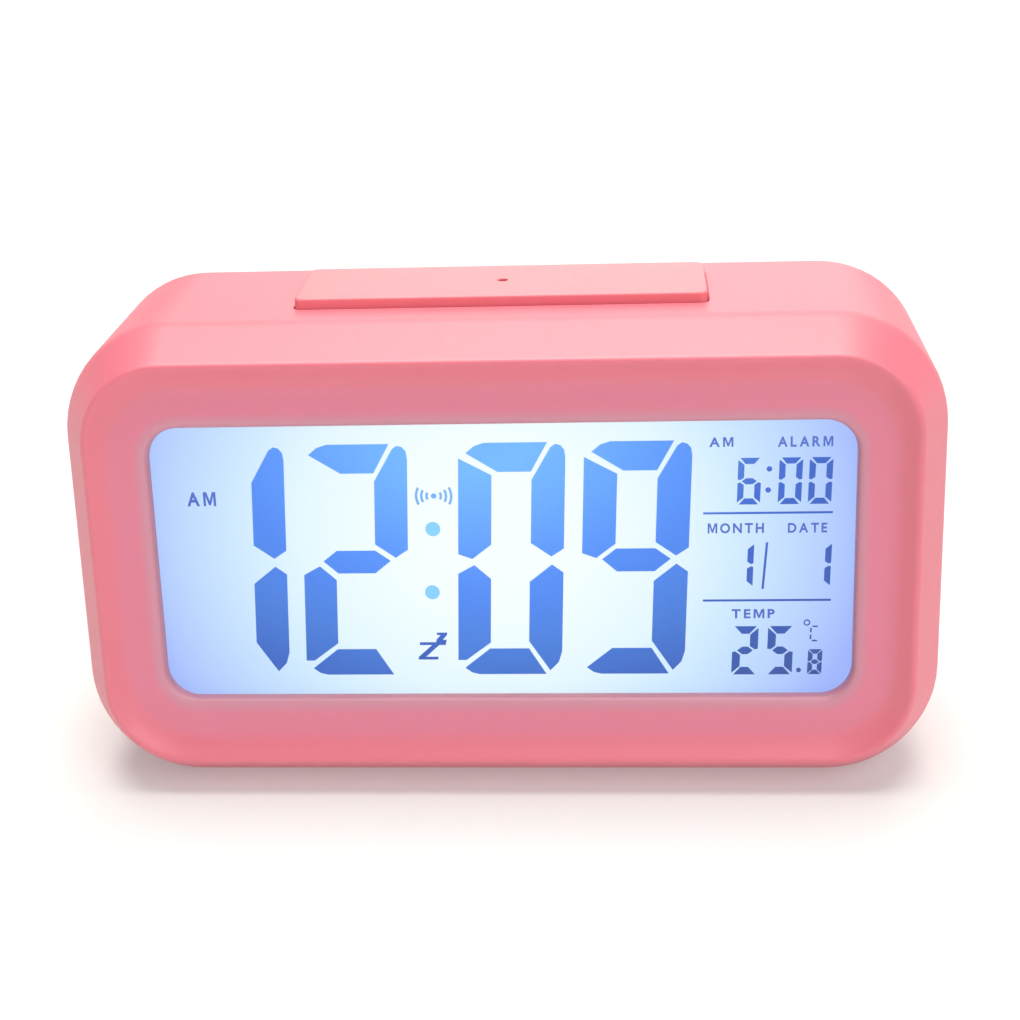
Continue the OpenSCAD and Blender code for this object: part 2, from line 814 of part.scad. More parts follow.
// A flat ribbon cable, as a band that follows the side view
module ribbon(path, x, w, t) {
    n = len(path);
    out = [
        for (i = [0:n - 1])
            let (d = unit(path[min(i + 1, n - 1)] - path[max(i - 1, 0)]))
                path[i] + t / 2 * [-d[1], d[0]]
    ];
    back = [
        for (i = [n - 1:-1:0])
            let (d = unit(path[min(i + 1, n - 1)] - path[max(i - 1, 0)]))
                path[i] - t / 2 * [-d[1], d[0]]
    ];
    translate([x - w / 2, 0, 0]) rotate([90, 0, 90]) linear_extrude(w) polygon(concat(out, back));
}

module button_ribbon() {
    route = [[-1.6, 52], [3, 52.5], [6, 56], [9, 56.5], [12.2, 55]];
    color("#b9bcc0") ribbon(smooth_path(route, ribbon_steps), 8, 9, ribbon_t);
}

module snooze_ribbon() {
    route = [[-1.1, 57], [2, 57.2], [5, 59], [6.2, 62], [6.4, snooze_board_z - 0.1]];
    color("#b9bcc0") ribbon(smooth_path(route, ribbon_steps), -14, 7, ribbon_t);
}

// ---- Fasteners

module case_screws() {
    color(nickel) for (x = [-1, 1], up = [-1, 1])
        translate([x * screw_x, cover_out - 0.1, case_h / 2 + up * screw_z]) rotate([-90, 0, 0])
            difference() {
                union() {
                    translate([0, 0, -1.2]) cylinder(d1 = 2.8, d2 = 5.2, h = 1.2);
                    translate([0, 0, -12]) cylinder(d = 2.8, h = 11);
                }
                cross_recess(3, 0.9);
            }
}

module board_screws() {
    color(nickel) on_face() for (p = post_places)
        translate([p[0], p[1], board_back - 0.02]) rotate([180, 0, 0]) pan_screw(4.2, 1.4, 1.8, 5.5);
}

module snooze_board_screws() {
    color(nickel) for (x = [-1, 1])
        translate([x * snooze_post_x, bar_y, snooze_board_z - 0.02]) rotate([180, 0, 0])
            pan_screw(4.2, 1.4, 1.8, 5.5);
}

module button_board_screws() {
    color(nickel) for (x = [-1, 1])
        translate([x * button_post_x, button_board_y - 0.02, controls_z]) rotate([90, 0, 0])
            pan_screw(4.2, 1.4, 1.8, 5);
}

// ---- Nodes

front_case();
rear_cover();
battery_door();
snooze_bar();
display_lens();
front_polariser();
lcd_front_glass();
lcd_rear_glass();
rear_polariser();
diffuser_sheet();
light_guide();
reflector_sheet();
display_frame();
backlight_leds();
zebra_strip();
main_board();
controller_blob();
clock_crystal();
electrolytic_capacitor();
chip_components();
piezo_plate();
piezo_ceramic();
thermistor();
light_sensor();
snooze_board();
snooze_switches();
snooze_plungers();
button_board();
button_switches();
set_button_at(button_x[0]);  // mode_button
set_button_at(button_x[1]);  // set_button
set_button_at(button_x[2]);  // up_button
set_button_at(button_x[3]);  // down_button
set_plunger_at(button_x[0]);  // mode_plunger
set_plunger_at(button_x[1]);  // set_plunger
set_plunger_at(button_x[2]);  // up_plunger
set_plunger_at(button_x[3]);  // down_plunger
slide_switches();
slider_at(slider_x[0]);  // alarm_slider
slider_at(slider_x[1]);  // sensor_slider
lever_at(slider_x[0]);  // alarm_lever
lever_at(slider_x[1]);  // sensor_lever
contact_plate(-1, 0, 0, true);  // positive_contact
contact_plate(-1, 1, 2, false);  // left_link_contact
contact_plate(1, 0, 1, false);  // right_link_contact
contact_plate(1, 2, 2, true);  // negative_contact
battery_springs();
cell(0, -1);  // battery_upper
cell(1, 1);  // battery_middle
cell(2, -1);  // battery_lower
red_leads();
black_leads();
button_ribbon();
snooze_ribbon();
case_screws();
board_screws();
snooze_board_screws();
button_board_screws();
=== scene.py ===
"""The looks of the alarm clock: smooth shells, the lit display and its digits, and every material.

Lengths are in millimetres in the CAD model's frame until a mesh is made, when they become metres.
"""
import json
import math

import bmesh
import bpy
import numpy as np
from mathutils import Matrix, Vector


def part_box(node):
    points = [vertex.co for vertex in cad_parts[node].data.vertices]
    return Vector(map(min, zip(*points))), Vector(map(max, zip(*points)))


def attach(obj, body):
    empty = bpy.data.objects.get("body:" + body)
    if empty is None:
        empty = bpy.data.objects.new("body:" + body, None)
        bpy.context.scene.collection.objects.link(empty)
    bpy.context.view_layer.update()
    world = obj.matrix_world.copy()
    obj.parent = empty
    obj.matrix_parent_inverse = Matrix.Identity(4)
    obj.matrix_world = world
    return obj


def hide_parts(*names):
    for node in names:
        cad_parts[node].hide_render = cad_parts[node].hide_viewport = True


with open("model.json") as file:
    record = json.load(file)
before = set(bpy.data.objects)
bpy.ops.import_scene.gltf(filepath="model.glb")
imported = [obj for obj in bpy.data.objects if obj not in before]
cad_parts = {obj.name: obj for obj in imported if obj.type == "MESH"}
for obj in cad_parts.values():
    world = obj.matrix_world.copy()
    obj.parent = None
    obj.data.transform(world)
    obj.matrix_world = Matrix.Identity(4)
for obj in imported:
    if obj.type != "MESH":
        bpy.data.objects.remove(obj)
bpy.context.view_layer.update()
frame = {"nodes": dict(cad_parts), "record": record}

MM = 0.001
ARC_STEPS = 14
SHARP_ANGLE = math.radians(34)


def box_mm(node):
    """The lowest and highest corner of a CAD node, in millimetres."""
    low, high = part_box(node)
    return np.array(low) / MM, np.array(high) / MM


def middle(node):
    """The centre of a CAD node."""
    low, high = box_mm(node)
    return (low + high) / 2


# ---- Sizes that the CAD model is built from, and places taken from its nodes

CASE_LOW, CASE_HIGH = box_mm("front_case")
COVER_LOW, COVER_HIGH = box_mm("rear_cover")
BAR_LOW, BAR_HIGH = box_mm("snooze_bar")
CASE_W = CASE_HIGH[0] - CASE_LOW[0]
CASE_H = CASE_HIGH[2] - CASE_LOW[2]
CASE_BACK = CASE_HIGH[1]
CASE_MID_Z = CASE_H / 2
CASE_R = 17.4
WALL = 2.2
LEAN = math.radians(6)

RING_DEPTH = 8.7
RING_W = CASE_W - 0.2
RING_H = CASE_H / math.cos(LEAN) - 0.2
RING_R = CASE_R - 0.1
CREST_INSET = 4.9
CREST_RISE = 0.22
FACE_INSET = 8.2
FACE_DEPTH = 1.9
CREST_Y = CASE_LOW[1] + (RING_H / 2 - CREST_INSET) * math.sin(LEAN)
CREST_Z = CASE_MID_Z + RING_DEPTH * math.sin(LEAN)

WINDOW_W, WINDOW_H, WINDOW_R = 106.9, 43.9, 5.0
WINDOW_Z = CREST_Z - FACE_DEPTH * math.sin(LEAN)
LENS_DEPTH = 4.2
LENS_T = 1.5
LENS_MARGIN = 2.4
PICTURE_W, PICTURE_H = 108.0, 45.8
PICTURE_T = 0.2
PICTURE_DEPTH = LENS_DEPTH + LENS_T + 0.2
INK_T = 0.04

COVER_OUT = COVER_HIGH[1]
COVER_T = 2.2
COVER_IN = COVER_OUT - COVER_T
COVER_W, COVER_H = COVER_HIGH[0] - COVER_LOW[0], COVER_HIGH[2] - COVER_LOW[2]
COVER_R = CASE_R - WALL - 0.15
BAR_Y = middle("snooze_bar")[1]
BAR_FLANGE = 1.1
BAR_W = BAR_HIGH[0] - BAR_LOW[0] - 2 * BAR_FLANGE
BAR_D = BAR_HIGH[1] - BAR_LOW[1] - 2 * BAR_FLANGE
BAR_TOP = BAR_HIGH[2]
BAR_R = 1.2
BAR_ROOM = 0.18
SENSOR_HOLE_D = 1.6

SOUNDER_X, VENT_X, GRILLE_Z = 47.0, -47.0, 29.0
SOUND_HOLE_D, SOUND_PITCH = 1.8, 4.0
VENT_W, VENT_H, VENT_PITCH = 1.6, 13.0, 4.0
SCREW_X, SCREW_UP = 58, 26.8
BUTTONS = ["mode", "set", "up", "down"]
CAP_W, CAP_H, CAP_R = 9.0, 5.6, 2.79
FLANGE_W, FLANGE_H, FLANGE_R = 10.8, 7.4, 3.69
SLIDERS = ["alarm", "sensor"]
SLIDE_TRAVEL = 4.0
KNOB_W, KNOB_H = 6.0, 4.0
SLIDE_W, SLIDE_H = 14.6, 6.4
CONTROLS_Z = middle("mode_button")[2]
CONTROL_EASE = 0.3

DOOR_W, DOOR_H, DOOR_T = 54.0, 37.0, 2.0
DOOR_Z = box_mm("battery_door")[0][2]
DOOR_TOP = DOOR_Z + DOOR_H
HINGE_Y = COVER_OUT - DOOR_T / 2
HINGE_Z = DOOR_Z + DOOR_T / 2
BAY_W, BAY_H, BAY_FLOOR, BAY_WALL = 50.4, 34.0, 7.6, 1.5
BAY_Z = 12.0
BAY_MID = BAY_Z + BAY_H / 2
LEDGE_DEPTH = 1.5


# ---- Points and meshes


def on_face(x, y, depth):
    """A point of the leaning face: x right and y up from its centre, depth behind the ring's crest."""
    return (
        x,
        CREST_Y + depth * math.cos(LEAN) + y * math.sin(LEAN),
        CREST_Z + y * math.cos(LEAN) - depth * math.sin(LEAN),
    )


def rounded_outline(w, h, r):
    """Points round a rounded rectangle, anticlockwise from its lower right corner."""
    points = []
    for quarter, (sx, sy) in enumerate([(1, -1), (1, 1), (-1, 1), (-1, -1)]):
        for i in range(ARC_STEPS + 1):
            a = math.radians(90 * (quarter - 1) + 90 * i / ARC_STEPS)
            points.append((sx * (w / 2 - r) + r * math.cos(a), sy * (h / 2 - r) + r * math.sin(a)))
    return points


def arc(x, y, r, first, last, steps=8):
    """Points of an arc between two angles in degrees."""
    turn = [math.radians(first + (last - first) * k / steps) for k in range(steps + 1)]
    return [(x + r * math.cos(a), y + r * math.sin(a)) for a in turn]


def circle(x, y, r, steps=24):
    """Points round a circle."""
    turn = [2 * math.pi * k / steps for k in range(steps)]
    return [(x + r * math.cos(a), y + r * math.sin(a)) for a in turn]


def face_loop(w, h, r, depth):
    """A rounded rectangle that lies in the leaning frame of the face."""
    return np.array([on_face(px, py, depth) for px, py in rounded_outline(w, h, r)])


def ring_loop(inset, depth):
    """The ring's outline drawn in by inset, at a depth behind the crest."""
    return face_loop(RING_W - 2 * inset, RING_H - 2 * inset, RING_R - inset, depth)


def upright_loop(w, h, r, y, x=0.0, z=0.0):
    """A rounded rectangle that stands upright, facing the back."""
    return np.array([(px + x, y, pz + z) for px, pz in rounded_outline(w, h, r)])


def bar_loop(w, d, r, z):
    """A rounded rectangle that lies flat, round the middle of the snooze bar."""
    return np.array([(px, py + BAR_Y, z) for px, py in rounded_outline(w, d, r)])


def rim_loop(inset):
    """The case's outline at its rear rim, drawn in by inset."""
    w, h, r = CASE_W - 2 * inset, CASE_H - 2 * inset, CASE_R - inset
    return upright_loop(w, h, r, CASE_BACK, z=CASE_MID_Z)


def crease_loop(inset, behind):
    """The case's outline drawn in by inset, on the leaning plane at the ring's foot or behind it."""
    points = rounded_outline(CASE_W - 2 * inset, CASE_H - 2 * inset, CASE_R - inset)
    foot = CREST_Y + RING_DEPTH * math.cos(LEAN)
    foot_z = CREST_Z - RING_DEPTH * math.sin(LEAN)
    return np.array([
        (px, foot + behind + (pz + CASE_MID_Z - foot_z) * math.tan(LEAN), pz + CASE_MID_Z)
        for px, pz in points
    ])


def toward(here, there, distance):
    """Steps of that distance from one loop towards another, at most half the way."""
    way = there - here
    length = np.linalg.norm(way, axis=1, keepdims=True)
    return way * np.minimum(distance / np.maximum(length, 1e-6), 0.49)


def soften(corners, cyclic=False, steps=4):
    """Loops for a loft from (loop, radius) pairs, with each corner rounded over its radius."""
    loops = []
    for i, (loop, radius) in enumerate(corners):
        at_end = not cyclic and i in (0, len(corners) - 1)
        if radius == 0 or at_end:
            loops.append(loop)
            continue
        start = loop + toward(loop, corners[i - 1][0], radius)
        end = loop + toward(loop, corners[(i + 1) % len(corners)][0], radius)
        for k in range(steps + 1):
            t = k / steps
            loops.append((1 - t) ** 2 * start + 2 * t * (1 - t) * loop + t * t * end)
    return loops


def loft(loops, cyclic=False):
    """Points and faces of a skin over loops of equal length, capped at both ends unless cyclic."""
    n, rows = len(loops[0]), len(loops)
    faces = []
    for i in range(rows if cyclic else rows - 1):
        a, b = i * n, (i + 1) % rows * n
        for j in range(n):
            k = (j + 1) % n
            faces.append((a + j, a + k, b + k, b + j))
    if not cyclic:
        faces.append(tuple(range(n)))
        faces.append(tuple((rows - 1) * n + j for j in range(n)))
    return np.vstack(loops), faces


def join_parts(parts):
    """One list of points and one of faces from several."""
    points, faces, base = [], [], 0
    for part_points, part_faces in parts:
        points.append(np.asarray(part_points, dtype=float))
        faces += [tuple(base + i for i in face) for face in part_faces]
        base += len(part_points)
    return np.vstack(points), faces


def mesh_object(name, points, faces):
    """A linked mesh object from points in millimetres, with its normals facing out."""
    mesh = bpy.data.meshes.new(name)
    mesh.from_pydata((np.asarray(points) * MM).tolist(), [], faces)
    work = bmesh.new()
    work.from_mesh(mesh)
    bmesh.ops.remove_doubles(work, verts=work.verts, dist=1e-7)
    bmesh.ops.recalc_face_normals(work, faces=work.faces)
    work.to_mesh(mesh)
    work.free()
    thing = bpy.data.objects.new(name, mesh)
    bpy.context.scene.collection.objects.link(thing)
    return thing


def applied(thing):
    """Puts the modifiers' result into the mesh."""
    graph = bpy.context.evaluated_depsgraph_get()
    mesh = bpy.data.meshes.new_from_object(thing.evaluated_get(graph))
    thing.modifiers.clear()
    thing.data = mesh


def cut(thing, parts, operation="DIFFERENCE"):
    """Cuts the lofts in parts out of a mesh, or with UNION joins them to it."""
    tool = mesh_object(thing.name + "_cutter", *join_parts(parts))
    modifier = thing.modifiers.new("cut", "BOOLEAN")
    modifier.operation = operation
    modifier.solver = "EXACT"
    modifier.object = tool
    applied(thing)
    bpy.data.objects.remove(tool)


def dressed(thing, material, body="case", replaces=()):
    """Shades a mesh smooth but for its sharp edges, and gives it a material and a body."""
    work = bmesh.new()
    work.from_mesh(thing.data)
    for face in work.faces:
        face.smooth = True
    for edge in work.edges:
        folded = len(edge.link_faces) == 2 and edge.calc_face_angle() > SHARP_ANGLE
        edge.smooth = not folded
    work.to_mesh(thing.data)
    work.free()
    weighted = thing.modifiers.new("weighted_normals", "WEIGHTED_NORMAL")
    weighted.keep_sharp = True
    thing.data.materials.clear()
    thing.data.materials.append(material)
    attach(thing, body)
    if replaces:
        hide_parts(*replaces)


# ---- Materials


def srgb(*rgb):
    """A linear colour from 0-255 screen values."""
    return [
        (c / 255 / 12.92) if c <= 10.3 else ((c / 255 + 0.055) / 1.055) ** 2.4 for c in rgb
    ] + [1.0]


# Sockets of a colour Mix node, by number, because its kinds of mix share their names
MIX_SHARE, MIX_FIRST, MIX_SECOND, MIX_RESULT = 0, 6, 7, 2


class Look:
    """A material with one Principled shader, and helpers that feed it."""

    def __init__(self, name, colour, roughness, **sockets):
        self.material = bpy.data.materials.new(name)
        self.material.use_nodes = True
        self.tree = self.material.node_tree
        self.shader = self.tree.nodes["Principled BSDF"]
        self.shader.inputs["Base Color"].default_value = colour
        self.shader.inputs["Roughness"].default_value = roughness
        for socket, value in sockets.items():
            self.shader.inputs[socket.replace("_", " ")].default_value = value
        self.colour = colour
        self.roughness = roughness
        self.coordinates = self.node("ShaderNodeTexCoord").outputs["Object"]

    def node(self, kind, **settings):
        """A new node with its settings."""
        made = self.tree.nodes.new(kind)
        for key, value in settings.items():
            setattr(made, key, value)
        return made

    def link(self, output, target):
        """Joins two sockets."""
        self.tree.links.new(output, target)

    def noise(self, scale, detail=3.0):
        """Noise over the surface, with scale in waves per metre."""
        noise = self.node("ShaderNodeTexNoise")
        noise.inputs["Scale"].default_value = scale
        noise.inputs["Detail"].default_value = detail
        self.link(self.coordinates, noise.inputs["Vector"])
        return noise.outputs["Fac"]

    def ranged(self, value, low, high, first=0.0, last=1.0, shape="LINEAR"):
        """A value spread from low to high as another goes from first to last."""
        spread = self.node("ShaderNodeMapRange", interpolation_type=shape)
        spread.inputs["From Min"].default_value = first
        spread.inputs["From Max"].default_value = last
        spread.inputs["To Min"].default_value = low
        spread.inputs["To Max"].default_value = high
        self.link(value, spread.inputs["Value"])
        return spread.outputs["Result"]

    def mixed(self, share, second):
        """A Mix node that goes to its second colour as share goes to 1."""
        mix = self.node("ShaderNodeMix", data_type="RGBA", blend_type="MIX")
        mix.inputs[MIX_SECOND].default_value = second
        self.link(share, mix.inputs[MIX_SHARE])
        return mix

    def mottled(self, scale, amount):
        """Varies the colour a little, lighter and darker."""
        dark = [c * (1 - amount) for c in self.colour[:3]] + [1.0]
        light = [min(c * (1 + amount), 1.0) for c in self.colour[:3]] + [1.0]
        mix = self.mixed(self.noise(scale), light)
        mix.inputs[MIX_FIRST].default_value = dark
        self.link(mix.outputs[MIX_RESULT], self.shader.inputs["Base Color"])
        return self

    def worn(self, scale, amount):
        """Varies the roughness."""
        rough = self.ranged(self.noise(scale), self.roughness - amount, self.roughness + amount)
        self.link(rough, self.shader.inputs["Roughness"])
        return self

    def grained(self, scale, height):
        """A fine grain in the surface, with its height in metres."""
        bump = self.node("ShaderNodeBump")
        bump.inputs["Strength"].default_value = 1.0
        bump.inputs["Distance"].default_value = height
        self.link(self.noise(scale, 2.0), bump.inputs["Height"])
        self.link(bump.outputs["Normal"], self.shader.inputs["Normal"])
        return self


# Painted glow: colours that stand in for the display's light shining through the plastic round the window
WINDOW_GLOW_PAINT = srgb(200, 138, 156)
FACE_GLOW_PAINT = srgb(222, 121, 148)
# Each painted glow of the display round the window: its colour, its share, and where it starts and ends to
# fade, from the window's edge
PAINTED_GLOWS = ((FACE_GLOW_PAINT, 0.75, 4.6, 7.4), (WINDOW_GLOW_PAINT, 0.85, 0.4, 2.6))
PINK = srgb(224, 113, 130)
PALE_PINK = srgb(234, 118, 130)
DEPTH_OF_GLOW = 0.003
WHITE = (1.0, 1.0, 1.0, 1.0)


def moulded(name, colour, roughness=0.46):
    """Soft-touch moulded plastic that lets a little light through."""
    look = Look(
        name, colour, roughness, Subsurface_Weight=0.15, Subsurface_Radius=(1.0, 0.35, 0.3),
        Subsurface_Scale=DEPTH_OF_GLOW, Specular_IOR_Level=0.9,
    )
    return look.mottled(60, 0.02).worn(900, 0.05).grained(2600, 0.00003)


def place_on_face(look):
    """How far across and how high a point is, in metres."""
    split = look.node("ShaderNodeSeparateXYZ")
    look.link(look.coordinates, split.inputs["Vector"])
    return split.outputs["X"], split.outputs["Z"]


def scaled(look, value, centre, span):
    """(value - centre) / span."""
    shift = look.node("ShaderNodeMath", operation="SUBTRACT")
    look.link(value, shift.inputs[0])
    shift.inputs[1].default_value = centre
    share = look.node("ShaderNodeMath", operation="DIVIDE")
    look.link(shift.outputs[0], share.inputs[0])
    share.inputs[1].default_value = span
    return share.outputs[0]


def length_of(look, across, up):
    """The length of a flat vector."""
    join = look.node("ShaderNodeCombineXYZ")
    look.link(across, join.inputs["X"])
    look.link(up, join.inputs["Y"])
    length = look.node("ShaderNodeVectorMath", operation="LENGTH")
    look.link(join.outputs["Vector"], length.inputs[0])
    return length.outputs["Value"]


def beyond(look, value, centre, half):
    """How far a value is past half a width from its centre, or 0 inside."""
    size = look.node("ShaderNodeMath", operation="ABSOLUTE")
    look.link(scaled(look, value, centre * MM, 1.0), size.inputs[0])
    past = look.node("ShaderNodeMath", operation="SUBTRACT", use_clamp=True)
    look.link(size.outputs[0], past.inputs[0])
    past.inputs[1].default_value = half * MM
    return past.outputs[0]


def painted_display_glow(look):
    """Paints the display's glow onto the plastic round the window, strongest beside it, where the display
    shines through.
    """
    across, up = place_on_face(look)
    distance = length_of(
        look,
        beyond(look, across, 0.0, WINDOW_W / 2 - WINDOW_R),
        beyond(look, up, WINDOW_Z, WINDOW_H / 2 - WINDOW_R),
    )
    base = look.shader.inputs["Base Color"]
    colour = base.links[0].from_socket
    for glow_paint, share, near, far in PAINTED_GLOWS:
        start, end = (WINDOW_R + near) * MM, (WINDOW_R + far) * MM
        mix = look.mixed(look.ranged(distance, share, 0.0, start, end, "SMOOTHSTEP"), glow_paint)
        look.link(colour, mix.inputs[MIX_FIRST])
        colour = mix.outputs[MIX_RESULT]
    look.link(colour, base)
    return look


def metal(name, colour, roughness=0.3):
    """Bare metal with faint handling marks."""
    look = Look(name, colour, roughness, Metallic=1.0)
    return look.mottled(300, 0.06).worn(700, 0.08).grained(1500, 0.00002).material


def plain(name, colour, roughness=0.45):
    """A solid finish for the parts inside."""
    look = Look(name, colour, roughness)
    return look.mottled(200, 0.04).worn(500, 0.06).grained(1200, 0.00002).material


def clear(name, colour, ior=1.49):
    """Clear plastic or glass."""
    look = Look(name, colour, 0.02, Transmission_Weight=1.0, IOR=ior)
    return look.worn(40, 0.01).material


def ramp(look, value, stops):
    """Colours along a value."""
    node = look.node("ShaderNodeValToRGB")
    elements = node.color_ramp.elements
    while len(elements) < len(stops):
        elements.new(0.5)
    for element, (place, colour) in zip(elements, stops):
        element.position = place
        element.color = colour
    look.link(value, node.inputs["Fac"])
    return node.outputs["Color"]


def lit(name, stops, centre, spans):
    """A backlit layer whose colour changes from its brightest place outwards, as a share of the spans."""
    look = Look(name, (0.01, 0.01, 0.012, 1.0), 0.5, Emission_Strength=1.0, Specular_IOR_Level=0.05)
    across, up = place_on_face(look)
    radius = length_of(
        look, scaled(look, across, centre[0], spans[0]), scaled(look, up, centre[1], spans[1])
    )
    look.link(ramp(look, radius, stops), look.shader.inputs["Emission Color"])
    return look.material


# The case's plastic, with the display's glow painted round the window
CASE_LOOK = painted_display_glow(moulded("case_pink", PINK)).material
LOOKS = {
    "pink_housing": moulded("soft_pink", PINK).material,
    "pink_key": moulded("pale_pink", PALE_PINK, 0.42).material,
    "clear_lens": clear("clear_lens", WHITE, ior=1.2),
    "polariser_film": plain("polariser_film", srgb(150, 160, 168), 0.2),
    "display_glass": clear("display_glass", (0.96, 0.98, 1.0, 1.0), ior=1.52),
    "white_plastic": plain("white_plastic", srgb(240, 240, 236), 0.5),
    "clear_acrylic": clear("clear_acrylic", (0.97, 0.99, 1.0, 1.0)),
    "contact_rubber": plain("contact_rubber", srgb(40, 40, 44), 0.7),
    "circuit_board": plain("circuit_board", srgb(38, 92, 58), 0.35),
    "black_plastic": plain("black_plastic", srgb(32, 32, 36), 0.5),
    "nickel_plate": metal("nickel_plate", srgb(205, 203, 196), 0.28),
    "sounder_brass": metal("sounder_brass", srgb(214, 178, 96), 0.3),
    "ceramic": plain("ceramic", srgb(232, 230, 222), 0.4),
    "sensor_ceramic": plain("sensor_ceramic", srgb(206, 136, 82), 0.3),
    "cell_jacket": plain("cell_jacket", srgb(62, 108, 170), 0.25),
    "red_wire": plain("red_wire", srgb(196, 48, 40), 0.35),
    "black_wire": plain("black_wire", srgb(30, 30, 32), 0.35),
    "ribbon_cable": plain("ribbon_cable", srgb(184, 188, 192), 0.4),
    "screw_steel": metal("screw_steel", srgb(196, 198, 202), 0.32),
}

# Colours of the lit layers, from the brightest place outwards
LIT_STOPS = [
    (0.0, srgb(247, 255, 255)), (0.25, srgb(244, 255, 255)), (0.5, srgb(228, 247, 255)),
    (0.62, srgb(212, 237, 255)), (0.76, srgb(194, 222, 255)), (0.9, srgb(176, 202, 255)),
    (1.0, srgb(160, 182, 252)),
]
INK_STOPS = [
    (0.0, srgb(112, 182, 255)), (0.12, srgb(116, 187, 255)), (0.25, srgb(106, 173, 255)),
    (0.4, srgb(91, 153, 254)), (0.52, srgb(80, 139, 244)), (0.7, srgb(72, 126, 219)),
    (0.88, srgb(58, 100, 192)),
]
FINE_STOPS = [
    (0.0, srgb(130, 194, 246)), (0.25, srgb(118, 180, 246)), (0.55, srgb(64, 108, 212)),
    (0.75, srgb(60, 98, 190)), (1.0, srgb(56, 86, 156)),
]
PRINT_STOPS = [(0.0, srgb(100, 132, 220)), (1.0, srgb(78, 104, 198))]
DOT_STOPS = [(0.0, srgb(142, 217, 254)), (1.0, srgb(120, 190, 250))]

# Each lit layer's colours, its brightest place from the face's middle, and its spans, in metres
LIT_LAYERS = {
    "lit_film": (LIT_STOPS, (-0.002, 0.004), (0.059, 0.054)),
    "display_ink": (INK_STOPS, (-0.004, 0.019), (0.075, 0.050)),
    "display_fine": (FINE_STOPS, (0.0, 0.019), (0.075, 0.050)),
    "display_print": (PRINT_STOPS, (0.0, 0.019), (0.06, 0.050)),
    "display_dots": (DOT_STOPS, (-0.011, 0.0), (0.02, 0.02)),
}
for layer, (layer_stops, (right, rise), layer_spans) in LIT_LAYERS.items():
    LOOKS[layer] = lit(layer, layer_stops, (right, CREST_Z * MM + rise), layer_spans)
for node in frame["record"]["subparts"]:
    cad = frame["nodes"][node["node"]]
    cad.data.materials.clear()
    cad.data.materials.append(LOOKS[node["material_slot"]])


# ---- The case


def case_shell():
    """Ring, face and walls as one smooth shell, with the slot for the snooze bar."""
    corners = [
        (face_loop(WINDOW_W, WINDOW_H, WINDOW_R, LENS_DEPTH), 0.1),
        (face_loop(WINDOW_W, WINDOW_H, WINDOW_R, FACE_DEPTH), 1.5),
        (ring_loop(FACE_INSET, FACE_DEPTH), 2.2),
        (ring_loop(CREST_INSET, -CREST_RISE), 1.0),
        (crease_loop(0, 0), 1.2),
        (rim_loop(0), 0.5),
        (rim_loop(WALL), 0.4),
        (crease_loop(WALL, 1.0), 0),
        (ring_loop(5.2, LENS_DEPTH), 0.5),
    ]
    shell = mesh_object("case_shell", *loft(soften(corners, cyclic=True, steps=6), cyclic=True))
    slot = (BAR_W + 2 * BAR_ROOM, BAR_D + 2 * BAR_ROOM, BAR_R + BAR_ROOM)
    mouth = (slot[0] + 2, slot[1] + 2, 2.5)
    cutter = [
        (bar_loop(*slot, CASE_H - WALL - 1), 0),
        (bar_loop(*slot, CASE_H), 0.3),
        (bar_loop(*mouth, CASE_H), 0),
        (bar_loop(*mouth, CASE_H + 1), 0),
    ]
    cut(shell, [loft(soften(cutter))])
    dressed(shell, CASE_LOOK, replaces=["front_case"])


def snooze_key():
    """The long bar, with its flange below and the light sensor's hole."""
    flange_z = CASE_H - WALL - 0.1
    foot_z = BAR_LOW[2]
    hollow = (BAR_W - 3.2, BAR_D - 3.2, 0.6)
    flange = (BAR_W + 2 * BAR_FLANGE, BAR_D + 2 * BAR_FLANGE, 1.5)
    cap = (BAR_W, BAR_D, BAR_R)
    corners = [
        (bar_loop(*hollow, BAR_TOP - 1.8), 0),
        (bar_loop(*hollow, foot_z), 0.1),
        (bar_loop(*flange, foot_z), 0.2),
        (bar_loop(*flange, flange_z), 0.2),
        (bar_loop(*cap, flange_z), 0.1),
        (bar_loop(*cap, BAR_TOP - 0.05), 0.45),
        (bar_loop(BAR_W - 6, BAR_D - 6, 1.0, BAR_TOP), 0),
    ]
    key = mesh_object("snooze_key", *loft(soften(corners, steps=5)))
    hole = (SENSOR_HOLE_D, SENSOR_HOLE_D, SENSOR_HOLE_D / 2)
    mouth = (SENSOR_HOLE_D + 2, SENSOR_HOLE_D + 2, SENSOR_HOLE_D / 2 + 1)
    funnel = [
        (bar_loop(*hole, BAR_TOP - 3), 0),
        (bar_loop(*hole, BAR_TOP), 0.2),
        (bar_loop(*mouth, BAR_TOP), 0),
        (bar_loop(*mouth, BAR_TOP + 1), 0),
    ]
    cut(key, [loft(soften(funnel))])
    dressed(key, LOOKS["pink_key"], "snooze_bar", ["snooze_bar"])


# ---- The display


def prism(outline):
    """A thin solid on the face from a flat outline, just in front of the lit layer."""
    front = np.array([on_face(x, y, PICTURE_DEPTH - INK_T) for x, y in outline])
    back = np.array([on_face(x, y, PICTURE_DEPTH) for x, y in outline])
    return loft([back, front])


def lens():
    """The clear window, let into the back of the face."""
    w, h, r = WINDOW_W + 2 * LENS_MARGIN, WINDOW_H + 2 * LENS_MARGIN, WINDOW_R + 1
    pane = [face_loop(w, h, r, LENS_DEPTH + LENS_T), face_loop(w, h, r, LENS_DEPTH + 0.02)]
    made = mesh_object("window_lens", *loft(pane))
    dressed(made, LOOKS["clear_lens"], replaces=["display_lens"])


def display_background():
    """The lit layer that the digits stand out from."""
    back = face_loop(PICTURE_W, PICTURE_H, 0.5, PICTURE_DEPTH + PICTURE_T)
    front = face_loop(PICTURE_W, PICTURE_H, 0.5, PICTURE_DEPTH)
    made = mesh_object("lit_display", *loft([back, front]))
    dressed(made, LOOKS["lit_film"], replaces=["front_polariser"])


